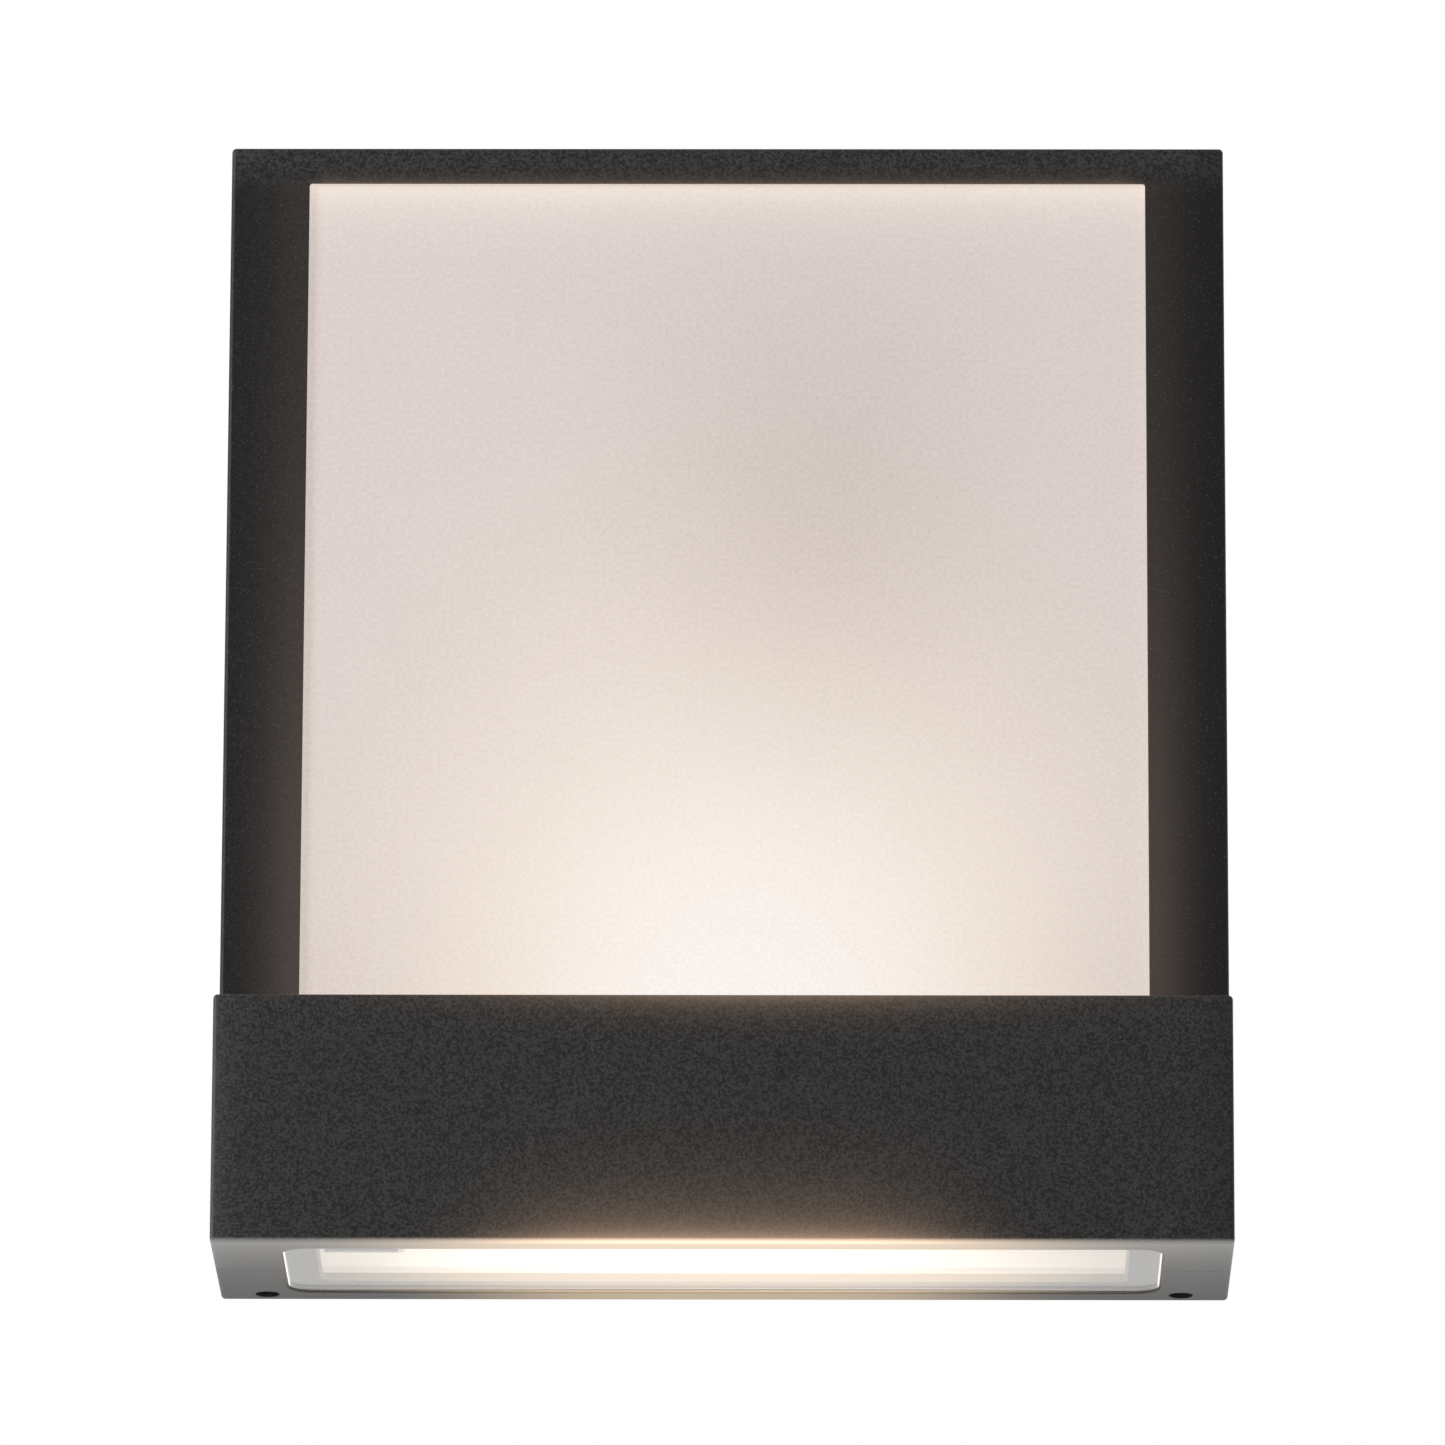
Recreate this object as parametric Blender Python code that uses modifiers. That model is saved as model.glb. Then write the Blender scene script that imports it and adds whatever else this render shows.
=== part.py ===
# Outdoor wall lantern: a flat cast housing with an opal front panel above a deeper lamp band.
# Frame: +X right, -Y towards the viewer, +Y into the wall, +Z up.
# The origin is the centre of the wall gasket's rear face. All lengths are in metres.

import math

import bmesh
import bpy
from mathutils import Matrix, Vector

# Outer casting
BODY_WIDTH = 0.232
BODY_HEIGHT = 0.270
BAND_HEIGHT = 0.058
BAND_DEPTH = 0.057
FRAME_DEPTH = 0.029
WALL = 0.0025
EDGE_ROUND = 0.0010
SIDE_BAR = 0.0183
TOP_BAR = 0.0087
LOWER_LIP = 0.0040
PANEL_LIP = 0.0010

# Clearances
GAP = 0.0003
THIN_GAP = 0.0001
PLATE_CLEARANCE = 0.0006

# Wall side
GASKET_THICK = 0.0020
GASKET_INSET = 0.0015
PLATE_THICK = 0.0015
PLATE_UPSTAND = 0.0080
CABLE_HOLE_RADIUS = 0.0105
CABLE_ENTRY = (0.032, 0.080)
WALL_SLOT_X = 0.070
WALL_SLOT_HEIGHTS = (-0.040, 0.098)
WALL_SLOT_LENGTH = 0.014
WALL_SLOT_WIDTH = 0.0055

# Front panel and its clips
PANEL_THICK = 0.0030
PANEL_OVERLAP = 0.0040
PANEL_SEAL_THICK = 0.0004
CLIP_X = 0.1080
CLIP_HEIGHTS = (-0.045, 0.095)
CLIP_THICK = 0.0010

# Window in the underside
GLASS_WIDTH = 0.200
GLASS_FRONT_MARGIN = 0.0074
GLASS_REAR_MARGIN = 0.0068
GLASS_CORNER = 0.0060
GLASS_THICK = 0.0030
GLASS_SET_BACK = 0.0004
GLASS_SEAL_THICK = 0.0006
LEDGE_THICK = 0.0018
LEDGE_SIDE = 0.0080
LEDGE_FRONT = 0.0050

# Retaining screws
SCREW_X = 0.1051
SCREW_FROM_REAR = 0.0048
SCREW_HOLE_RADIUS = 0.0027
SCREW_RADIUS = 0.0024
SCREW_SET_BACK = 0.0015

# Lamp and its holder, turned about a line along X
LAMP_RADIUS = 0.0225
LAMP_Y = -0.0310
HOLDER_REAR_X = -0.0734
HOLDER_MOUTH_X = -0.0280
HOLDER_FLOOR_X = -0.0575
HOLDER_BORE = 0.0144
THREAD_TURNS = 5

# Terminal block
BLOCK_X = 0.032
BLOCK_Z = 0.048
POLE_PITCH = 0.009
BLOCK_SIZE = (0.030, 0.0060, 0.020)
POLE_SIZE = (0.0072, 0.0070, 0.0170)

WIRE_RADIUS = 0.0012

# Places that follow from the dimensions above
HALF_WIDTH = BODY_WIDTH / 2
TOP = BODY_HEIGHT / 2
BOTTOM = -TOP
REAR = -GASKET_THICK - GAP
BAND_FRONT = REAR - BAND_DEPTH
FRAME_FRONT = REAR - FRAME_DEPTH
BAND_TOP = BOTTOM + BAND_HEIGHT
INNER_X = HALF_WIDTH - WALL
INNER_TOP = TOP - WALL
GLASS_FACE = BOTTOM + GLASS_SET_BACK
GLASS_BACK = GLASS_FACE + GLASS_THICK
LEDGE_FACE = GLASS_BACK + GLASS_SEAL_THICK + 2 * THIN_GAP
FLOOR = LEDGE_FACE + LEDGE_THICK
OPENING_X = HALF_WIDTH - SIDE_BAR
OPENING_TOP = TOP - TOP_BAR
OPENING_BOTTOM = BAND_TOP + LOWER_LIP
SEAL_FRONT = FRAME_FRONT + PANEL_LIP + THIN_GAP
PANEL_FRONT = SEAL_FRONT + PANEL_SEAL_THICK + THIN_GAP
PANEL_REAR = PANEL_FRONT + PANEL_THICK
CLIP_FRONT = PANEL_REAR + GAP
GLASS_Y = (BAND_FRONT + GLASS_FRONT_MARGIN, REAR - GLASS_REAR_MARGIN)
WINDOW_Y = (GLASS_Y[0] + LEDGE_FRONT, GLASS_Y[1] - LEDGE_FRONT)
WINDOW_X = GLASS_WIDTH / 2 - LEDGE_SIDE
PLATE_REAR = -GASKET_THICK - THIN_GAP
PLATE_FRONT = PLATE_REAR - PLATE_THICK
PLATE_X = INNER_X - PLATE_CLEARANCE
PLATE_TOP = INNER_TOP - GAP
PLATE_BOTTOM = FLOOR + PLATE_CLEARANCE
ON_PLATE = PLATE_FRONT - GAP
LAMP_Z = (FLOOR + BAND_TOP - WALL) / 2
SCREW_Y = REAR - SCREW_FROM_REAR
BLOCK_FRONT = ON_PLATE - BLOCK_SIZE[1]
POLE_FRONT = BLOCK_FRONT - POLE_SIZE[1]
WIRE_PORT_Y = BLOCK_FRONT - 0.0025
BRACKET_X = HOLDER_REAR_X - GAP

# name: (red, green, blue), metallic, roughness
FINISHES = {
    "charcoal_coat": ((0.030, 0.030, 0.032), 0.0, 0.62),
    "white_coat": ((0.82, 0.81, 0.79), 0.0, 0.50),
    "opal": ((0.86, 0.82, 0.78), 0.0, 0.35),
    "clear_glass": ((0.80, 0.84, 0.83), 0.0, 0.05),
    "black_rubber": ((0.020, 0.020, 0.020), 0.0, 0.80),
    "grey_foam": ((0.060, 0.060, 0.062), 0.0, 0.95),
    "zinc_steel": ((0.60, 0.60, 0.58), 1.0, 0.35),
    "black_steel": ((0.040, 0.040, 0.042), 1.0, 0.45),
    "nickel": ((0.70, 0.69, 0.66), 1.0, 0.22),
    "brass": ((0.72, 0.55, 0.26), 1.0, 0.30),
    "ivory_plastic": ((0.76, 0.73, 0.66), 0.0, 0.45),
    "black_plastic": ((0.025, 0.025, 0.025), 0.0, 0.40),
    "white_ceramic": ((0.84, 0.83, 0.80), 0.0, 0.20),
    "brown_sleeve": ((0.16, 0.065, 0.025), 0.0, 0.50),
    "blue_sleeve": ((0.025, 0.12, 0.42), 0.0, 0.50),
    "green_sleeve": ((0.10, 0.36, 0.07), 0.0, 0.50),
}


def clear_scene():
    for obj in list(bpy.data.objects):
        bpy.data.objects.remove(obj, do_unlink=True)


def new_collection(name):
    collection = bpy.data.collections.new(name)
    bpy.context.scene.collection.children.link(collection)
    return collection


def make_materials():
    made = {}
    for name, (color, metallic, roughness) in FINISHES.items():
        material = bpy.data.materials.new(name)
        material.use_nodes = True
        shader = material.node_tree.nodes["Principled BSDF"]
        shader.inputs["Base Color"].default_value = (*color, 1.0)
        shader.inputs["Metallic"].default_value = metallic
        shader.inputs["Roughness"].default_value = roughness
        material.diffuse_color = (*color, 1.0)
        made[name] = material
    return made


clear_scene()
LANTERN = new_collection("wall_lantern")
CUTTERS = new_collection("cutters")
CUTTERS.hide_render = True
MATERIALS = make_materials()


def place(mesh, name, location, finish, rotation=(0, 0, 0)):
    """Puts a mesh in the scene as a part, or as a cutter when it has no finish."""
    obj = bpy.data.objects.new(name, mesh)
    obj.location = location
    obj.rotation_euler = rotation
    if finish:
        mesh.materials.clear()
        mesh.materials.append(MATERIALS[finish])
        LANTERN.objects.link(obj)
    else:
        obj.hide_render = True
        obj.display_type = "WIRE"
        CUTTERS.objects.link(obj)
    return obj


def block(name, low, high, finish=None, rounding=0.0, rounded=None, segments=3):
    """A box between two corners. rounded(edge centre, edge direction) picks the edges to round."""
    low = Vector(low)
    high = Vector(high)
    bm = bmesh.new()
    bmesh.ops.create_cube(bm, size=1.0)
    bmesh.ops.scale(bm, vec=high - low, verts=bm.verts)
    if rounding:
        edges = []
        for edge in bm.edges:
            start, end = (vert.co for vert in edge.verts)
            if rounded is None or rounded((start + end) / 2, (end - start).normalized()):
                edges.append(edge)
        bmesh.ops.bevel(bm, geom=edges, offset=rounding, segments=segments, profile=0.5, affect="EDGES")
    mesh = bpy.data.meshes.new(name)
    bm.to_mesh(mesh)
    bm.free()
    return place(mesh, name, (low + high) / 2, finish)


def along(axis):
    """Picks the edges of a block that run along one axis."""
    return lambda centre, direction: abs(direction[axis]) > 0.9


def rod(name, centre, axis, radius, length, finish=None, sides=24):
    """A cylinder centred on a point, along the axis named X, Y or Z."""
    bm = bmesh.new()
    bmesh.ops.create_cone(
        bm, cap_ends=True, segments=sides, radius1=radius, radius2=radius, depth=length
    )
    mesh = bpy.data.meshes.new(name)
    bm.to_mesh(mesh)
    bm.free()
    turns = {"X": (0, math.pi / 2, 0), "Y": (math.pi / 2, 0, 0), "Z": (0, 0, 0)}
    return place(mesh, name, centre, finish, turns[axis])


def turned(name, profile, origin, axis, finish, steps=24, closed=False):
    """A shape turned about a line: profile points are (radius, height) down the outer side."""
    bm = bmesh.new()
    half_step = math.pi / steps
    verts = []
    for radius, height in profile:
        verts.append(bm.verts.new((radius * math.cos(half_step), radius * math.sin(half_step), height)))
    ends = verts[1:] + (verts[:1] if closed else [])
    for start, end in zip(verts, ends):
        bm.edges.new((start, end))
    mesh = bpy.data.meshes.new(name)
    bm.to_mesh(mesh)
    bm.free()
    turns = {
        "+X": (0, math.pi / 2, 0),
        "-X": (0, -math.pi / 2, 0),
        "+Y": (-math.pi / 2, 0, 0),
        "-Y": (math.pi / 2, 0, 0),
        "+Z": (0, 0, 0),
    }
    obj = place(mesh, name, origin, finish, turns[axis])
    screw = obj.modifiers.new("turn", "SCREW")
    screw.axis = "Z"
    screw.angle = 2 * math.pi
    screw.steps = steps
    screw.render_steps = steps
    screw.use_merge_vertices = True
    screw.merge_threshold = 0.00001
    screw.use_smooth_shade = True
    return obj


def boolean(target, tool, operation):
    modifier = target.modifiers.new(tool.name, "BOOLEAN")
    modifier.operation = operation
    modifier.object = tool
    modifier.solver = "EXACT"


def cut(target, *tools):
    for tool in tools:
        boolean(target, tool, "DIFFERENCE")


def join(target, *tools):
    for tool in tools:
        boolean(target, tool, "UNION")


def slot(name, x, z, rear, front):
    """A cutter for a level slot with round ends, through a sheet."""
    low = (x - WALL_SLOT_LENGTH / 2, front, z - WALL_SLOT_WIDTH / 2)
    high = (x + WALL_SLOT_LENGTH / 2, rear, z + WALL_SLOT_WIDTH / 2)
    return block(name, low, high, rounding=WALL_SLOT_WIDTH * 0.498, rounded=along(1), segments=5)


def pan_screw(name, origin, axis, head_radius, head_height, shank_radius, length, finish, steps=16):
    """A pan-head screw whose head bears on a face at the origin and stands up along the axis."""
    profile = [
        (0, head_height),
        (head_radius * 0.55, head_height),
        (head_radius * 0.90, head_height * 0.62),
        (head_radius, head_height * 0.25),
        (head_radius, 0),
        (shank_radius, 0),
        (shank_radius, -length),
        (0, -length),
    ]
    return turned(name, profile, origin, axis, finish, steps)


def smooth_route(points, steps):
    """Points on a smooth curve through the given ones, with the same number of steps in each span."""
    points = [Vector(point) for point in points]
    points = [2 * points[0] - points[1], *points, 2 * points[-1] - points[-2]]
    route = []
    for before, start, end, after in zip(points, points[1:], points[2:], points[3:]):
        for step in range(steps):
            t = step / steps
            route.append(
                0.5 * (2 * start + (end - before) * t
                       + (2 * before - 5 * start + 4 * end - after) * t**2
                       + (3 * start - before - 3 * end + after) * t**3)
            )
    return route + [points[-2]]


def wire(name, points, finish, steps=3):
    curve = bpy.data.curves.new(name, "CURVE")
    curve.dimensions = "3D"
    curve.bevel_depth = WIRE_RADIUS
    curve.bevel_resolution = 2
    curve.use_fill_caps = True
    route = smooth_route(points, steps)
    spline = curve.splines.new("POLY")
    spline.points.add(len(route) - 1)
    for point, place_at in zip(spline.points, route):
        point.co = (*place_at, 1.0)
    curve.materials.append(MATERIALS[finish])
    obj = bpy.data.objects.new(name, curve)
    LANTERN.objects.link(obj)
    return obj


def group(name, location, pieces):
    """Parents pieces to an empty, so that they move together."""
    empty = bpy.data.objects.new(name, None)
    empty.location = location
    empty.empty_display_size = 0.02
    LANTERN.objects.link(empty)
    for piece in pieces:
        piece.parent = empty
        piece.matrix_parent_inverse = Matrix.Translation(-empty.location)


def make_front_housing():
    """One casting: the upper frame's box, the deeper band below it, and a lipped window in each."""

    def away_from_wall(centre, direction):
        return centre.y < 0 or abs(direction.y) > 0.9

    housing = block(
        "front_housing", (-HALF_WIDTH, BAND_FRONT, BOTTOM), (HALF_WIDTH, REAR, BAND_TOP),
        "charcoal_coat", EDGE_ROUND, away_from_wall, 2,
    )
    frame = block(
        "cut_frame_box", (-HALF_WIDTH, FRAME_FRONT, BAND_TOP - 2 * WALL), (HALF_WIDTH, REAR, TOP),
        None, EDGE_ROUND, away_from_wall, 2,
    )
    behind = 0.005
    frame_hollow = block(
        "cut_frame_hollow", (-INNER_X, FRAME_FRONT + WALL, FLOOR), (INNER_X, REAR + behind, INNER_TOP),
        None, EDGE_ROUND, along(1), 2,
    )
    band_hollow = block(
        "cut_band_hollow", (-INNER_X, BAND_FRONT + WALL, FLOOR),
        (INNER_X, FRAME_FRONT + 2 * WALL, BAND_TOP - WALL), None, EDGE_ROUND, along(1), 2,
    )
    panel_opening = block(
        "cut_panel_opening", (-OPENING_X, FRAME_FRONT - behind, OPENING_BOTTOM),
        (OPENING_X, FRAME_FRONT + 2 * WALL, OPENING_TOP), None, 0.0006, along(1), 2,
    )
    edge = PANEL_OVERLAP + 0.0005
    panel_rebate = block(
        "cut_panel_rebate", (-OPENING_X - edge, FRAME_FRONT + PANEL_LIP, OPENING_BOTTOM - edge),
        (OPENING_X + edge, FRAME_FRONT + 2 * WALL, OPENING_TOP + edge), None, 0.0006, along(1), 2,
    )
    glass_recess = block(
        "cut_glass_recess", (-GLASS_WIDTH / 2 - GAP, GLASS_Y[0] - GAP, BOTTOM - behind),
        (GLASS_WIDTH / 2 + GAP, GLASS_Y[1] + GAP, LEDGE_FACE), None, GLASS_CORNER, along(2), 5,
    )
    window = block(
        "cut_window", (-WINDOW_X, WINDOW_Y[0], BOTTOM - behind), (WINDOW_X, WINDOW_Y[1], FLOOR + behind)
    )
    join(housing, frame)
    cut(housing, frame_hollow, band_hollow, panel_opening, panel_rebate, glass_recess, window)
    for side in (-1, 1):
        for height in CLIP_HEIGHTS:
            tag = f"{side}_{height}"
            start = FRAME_FRONT + WALL / 2
            end = CLIP_FRONT - GAP
            middle = (side * CLIP_X, (start + end) / 2, height)
            boss = rod(f"cut_boss_{tag}", middle, "Y", 0.0034, end - start)
            bore_end = end + behind
            bore_length = bore_end - (end - 0.0032)
            middle = (side * CLIP_X, bore_end - bore_length / 2, height)
            bore = rod(f"cut_boss_bore_{tag}", middle, "Y", 0.0016, bore_length, sides=16)
            join(housing, boss)
            cut(housing, bore)
        hole_at = (side * SCREW_X, SCREW_Y, BOTTOM)
        cut(housing, rod(f"cut_screw_hole_{side}", hole_at, "Z", SCREW_HOLE_RADIUS, 0.03))
    return housing


def make_panel():
    """The opal front panel, its seal and the clips that hold it in the housing's rebate."""
    overlap = PANEL_OVERLAP
    low = (-OPENING_X - overlap, PANEL_FRONT, OPENING_BOTTOM - overlap)
    high = (OPENING_X + overlap, PANEL_REAR, OPENING_TOP + overlap)
    pieces = [block("diffuser_panel", low, high, "opal", 0.0004, along(1), 1)]
    seal_high = (high[0], SEAL_FRONT + PANEL_SEAL_THICK, high[2])
    seal = block("panel_seal", (low[0], SEAL_FRONT, low[2]), seal_high, "black_rubber")
    inset = 0.0006
    seal_hole = block(
        "cut_panel_seal", (-OPENING_X - inset, SEAL_FRONT - 0.01, OPENING_BOTTOM - inset),
        (OPENING_X + inset, SEAL_FRONT + 0.01, OPENING_TOP + inset),
    )
    cut(seal, seal_hole)
    pieces.append(seal)
    number = 0
    for side in (-1, 1):
        for height in CLIP_HEIGHTS:
            number += 1
            inner = side * (OPENING_X + 0.0009)
            outer = side * (INNER_X - 0.0013)
            clip_low = (min(inner, outer), CLIP_FRONT, height - 0.005)
            clip_high = (max(inner, outer), CLIP_FRONT + CLIP_THICK, height + 0.005)
            clip = block(f"panel_clip_{number}", clip_low, clip_high, "zinc_steel", 0.0015, along(1), 2)
            centre = (side * CLIP_X, CLIP_FRONT, height)
            cut(clip, rod(f"cut_clip_hole_{number}", centre, "Y", 0.0017, 0.01, sides=16))
            head_at = (side * CLIP_X, CLIP_FRONT + CLIP_THICK + GAP, height)
            screw = pan_screw(
                f"clip_screw_{number}", head_at, "+Y", 0.0027, 0.0018, 0.0013, 0.0040, "zinc_steel"
            )
            pieces += [clip, screw]
    return pieces


def make_window_glass():
    """The clear plate let into the underside, and the seal between it and the ledge."""
    half = GLASS_WIDTH / 2
    glass = block(
        "lower_glass", (-half, GLASS_Y[0], GLASS_FACE), (half, GLASS_Y[1], GLASS_BACK),
        "clear_glass", GLASS_CORNER, along(2), 6,
    )
    seal_low = GLASS_BACK + THIN_GAP
    inset = 0.0006
    seal = block(
        "lower_glass_seal", (-half, GLASS_Y[0], seal_low), (half, GLASS_Y[1], seal_low + GLASS_SEAL_THICK),
        "black_rubber", GLASS_CORNER, along(2), 4,
    )
    hole = block(
        "cut_glass_seal", (-WINDOW_X - inset, WINDOW_Y[0] - inset, seal_low - 0.01),
        (WINDOW_X + inset, WINDOW_Y[1] + inset, seal_low + 0.01),
    )
    cut(seal, hole)
    return [glass, seal]


def make_retaining_screws():
    """Two pointed socket screws that press up on the wall plate from inside the underside's holes."""
    length = PLATE_BOTTOM - GAP - BOTTOM - SCREW_SET_BACK
    tip = 0.0010
    profile = [
        (0, length),
        (SCREW_RADIUS - tip, length),
        (SCREW_RADIUS, length - tip),
        (SCREW_RADIUS, 0.0003),
        (SCREW_RADIUS - 0.0003, 0),
        (0, 0),
    ]
    for name, side in (("retaining_screw_left", -1), ("retaining_screw_right", 1)):
        origin = (side * SCREW_X, SCREW_Y, BOTTOM + SCREW_SET_BACK)
        screw = turned(name, profile, origin, "+Z", "black_steel", 24)
        cut(screw, rod(f"cut_socket_{name}", origin, "Z", 0.00144, 0.0048, sides=6))


def make_wall_plate():
    """The foam gasket, and the white sheet tray on it that carries the lamp and the wiring."""
    inset_x = HALF_WIDTH - GASKET_INSET
    inset_z = TOP - GASKET_INSET
    gasket = block("wall_gasket", (-inset_x, -GASKET_THICK, -inset_z), (inset_x, 0, inset_z), "grey_foam")
    plate = block(
        "wall_plate", (-PLATE_X, PLATE_FRONT - PLATE_UPSTAND, PLATE_BOTTOM), (PLATE_X, PLATE_REAR, PLATE_TOP),
        "white_coat", 0.0010, along(1), 2,
    )
    tray_hollow = block(
        "cut_tray", (-PLATE_X + PLATE_THICK, PLATE_FRONT - 2 * PLATE_UPSTAND, PLATE_BOTTOM + PLATE_THICK),
        (PLATE_X - PLATE_THICK, PLATE_FRONT, PLATE_TOP - PLATE_THICK),
    )
    cut(plate, tray_hollow)
    entry = (CABLE_ENTRY[0], 0, CABLE_ENTRY[1])
    cut(plate, rod("cut_cable_hole", entry, "Y", CABLE_HOLE_RADIUS, 0.02))
    cut(gasket, rod("cut_gasket_hole", entry, "Y", CABLE_HOLE_RADIUS + 0.004, 0.02))
    for x in (-WALL_SLOT_X, WALL_SLOT_X):
        for z in WALL_SLOT_HEIGHTS:
            cutter = slot(f"cut_wall_slot_{x}_{z}", x, z, 0.01, -0.01)
            cut(plate, cutter)
            cut(gasket, cutter)
    return [gasket, plate]


def make_grommet():
    """A rubber ring that grips the edge of the cable hole, with a tapered bore."""
    neck = CABLE_HOLE_RADIUS - GAP
    lip = CABLE_HOLE_RADIUS + 0.0026
    rear = -0.0016
    groove = PLATE_THICK + 2 * GAP
    profile = [
        (0.0036, 0.0090),
        (0.0058, 0.0090),
        (0.0080, groove + 0.0022),
        (lip, groove + 0.0016),
        (lip, groove),
        (neck, groove),
        (neck, 0),
        (lip, 0),
        (lip, rear),
        (0.0062, rear),
        (0.0040, 0.0050),
    ]
    origin = (CABLE_ENTRY[0], PLATE_REAR + GAP, CABLE_ENTRY[1])
    grommet = turned("cable_grommet", profile, origin, "-Y", "black_rubber", 24, closed=True)
    return [grommet]


def make_terminals():
    """A block of three pillar terminals with its screws, the earth screw and its ring tag."""
    width, _, height = BLOCK_SIZE
    body = block(
        "terminal_block", (BLOCK_X - width / 2, BLOCK_FRONT, BLOCK_Z - height / 2),
        (BLOCK_X + width / 2, ON_PLATE, BLOCK_Z + height / 2), "ivory_plastic", 0.0008, along(1), 2,
    )
    pieces = [body]
    pole_width, _, pole_height = POLE_SIZE
    screw_rise = 0.0048
    well_depth = 0.0024
    number = 0
    for pole in (-1, 0, 1):
        x = BLOCK_X + pole * POLE_PITCH
        hump = block(
            f"cut_pole_{pole}", (x - pole_width / 2, POLE_FRONT, BLOCK_Z - pole_height / 2),
            (x + pole_width / 2, BLOCK_FRONT + 0.0005, BLOCK_Z + pole_height / 2), None, 0.0006, along(1), 2,
        )
        join(body, hump)
        for end in (-1, 1):
            z = BLOCK_Z + end * screw_rise
            port_at = (x, WIRE_PORT_Y, BLOCK_Z + end * 0.0080)
            port = rod(f"cut_port_{pole}_{end}", port_at, "Z", 0.0017, 0.0070, sides=16)
            well = rod(f"cut_well_{pole}_{end}", (x, POLE_FRONT, z), "Y", 0.0022, 2 * well_depth, sides=16)
            cut(body, port, well)
            number += 1
            pieces.append(turned(
                f"terminal_screw_{number}",
                [(0, 0.0016), (0.0015, 0.0016), (0.0018, 0.0013), (0.0018, 0), (0, 0)],
                (x, POLE_FRONT + well_depth - GAP, z), "-Y", "nickel", 16,
            ))
    fixing_x = BLOCK_X + POLE_PITCH / 2
    cut(body, rod("cut_fixing_hole", (fixing_x, BLOCK_FRONT, BLOCK_Z), "Y", 0.0016, 0.03, sides=16))
    well_at = (fixing_x, POLE_FRONT, BLOCK_Z)
    cut(body, rod("cut_fixing_well", well_at, "Y", 0.0026, 2 * POLE_SIZE[1], sides=16))
    pieces.append(pan_screw(
        "terminal_fixing_screw", (fixing_x, BLOCK_FRONT - GAP, BLOCK_Z), "-Y", 0.0023, 0.0016, 0.0012, 0.0074,
        "zinc_steel",
    ))
    return pieces


def make_earth(plate):
    x = 0.050
    z = 0.020
    tag = turned(
        "earth_tag", [(0.0040, 0.0008), (0.0040, 0), (0.0020, 0), (0.0020, 0.0008)], (x, ON_PLATE, z), "-Y",
        "brass", 20, closed=True,
    )
    tongue_low = (x - 0.0016, ON_PLATE - 0.0007, z + 0.0030)
    tongue_high = (x + 0.0016, ON_PLATE - 0.0001, z + 0.0080)
    join(tag, block("cut_tag_tongue", tongue_low, tongue_high))
    screw = pan_screw(
        "earth_screw", (x, ON_PLATE - 0.0008 - GAP, z), "-Y", 0.0036, 0.0024, 0.0016, 0.0027, "brass"
    )
    cut(plate, rod("cut_earth_hole", (x, 0, z), "Y", 0.0019, 0.02, sides=16))
    return [tag, screw]


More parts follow.
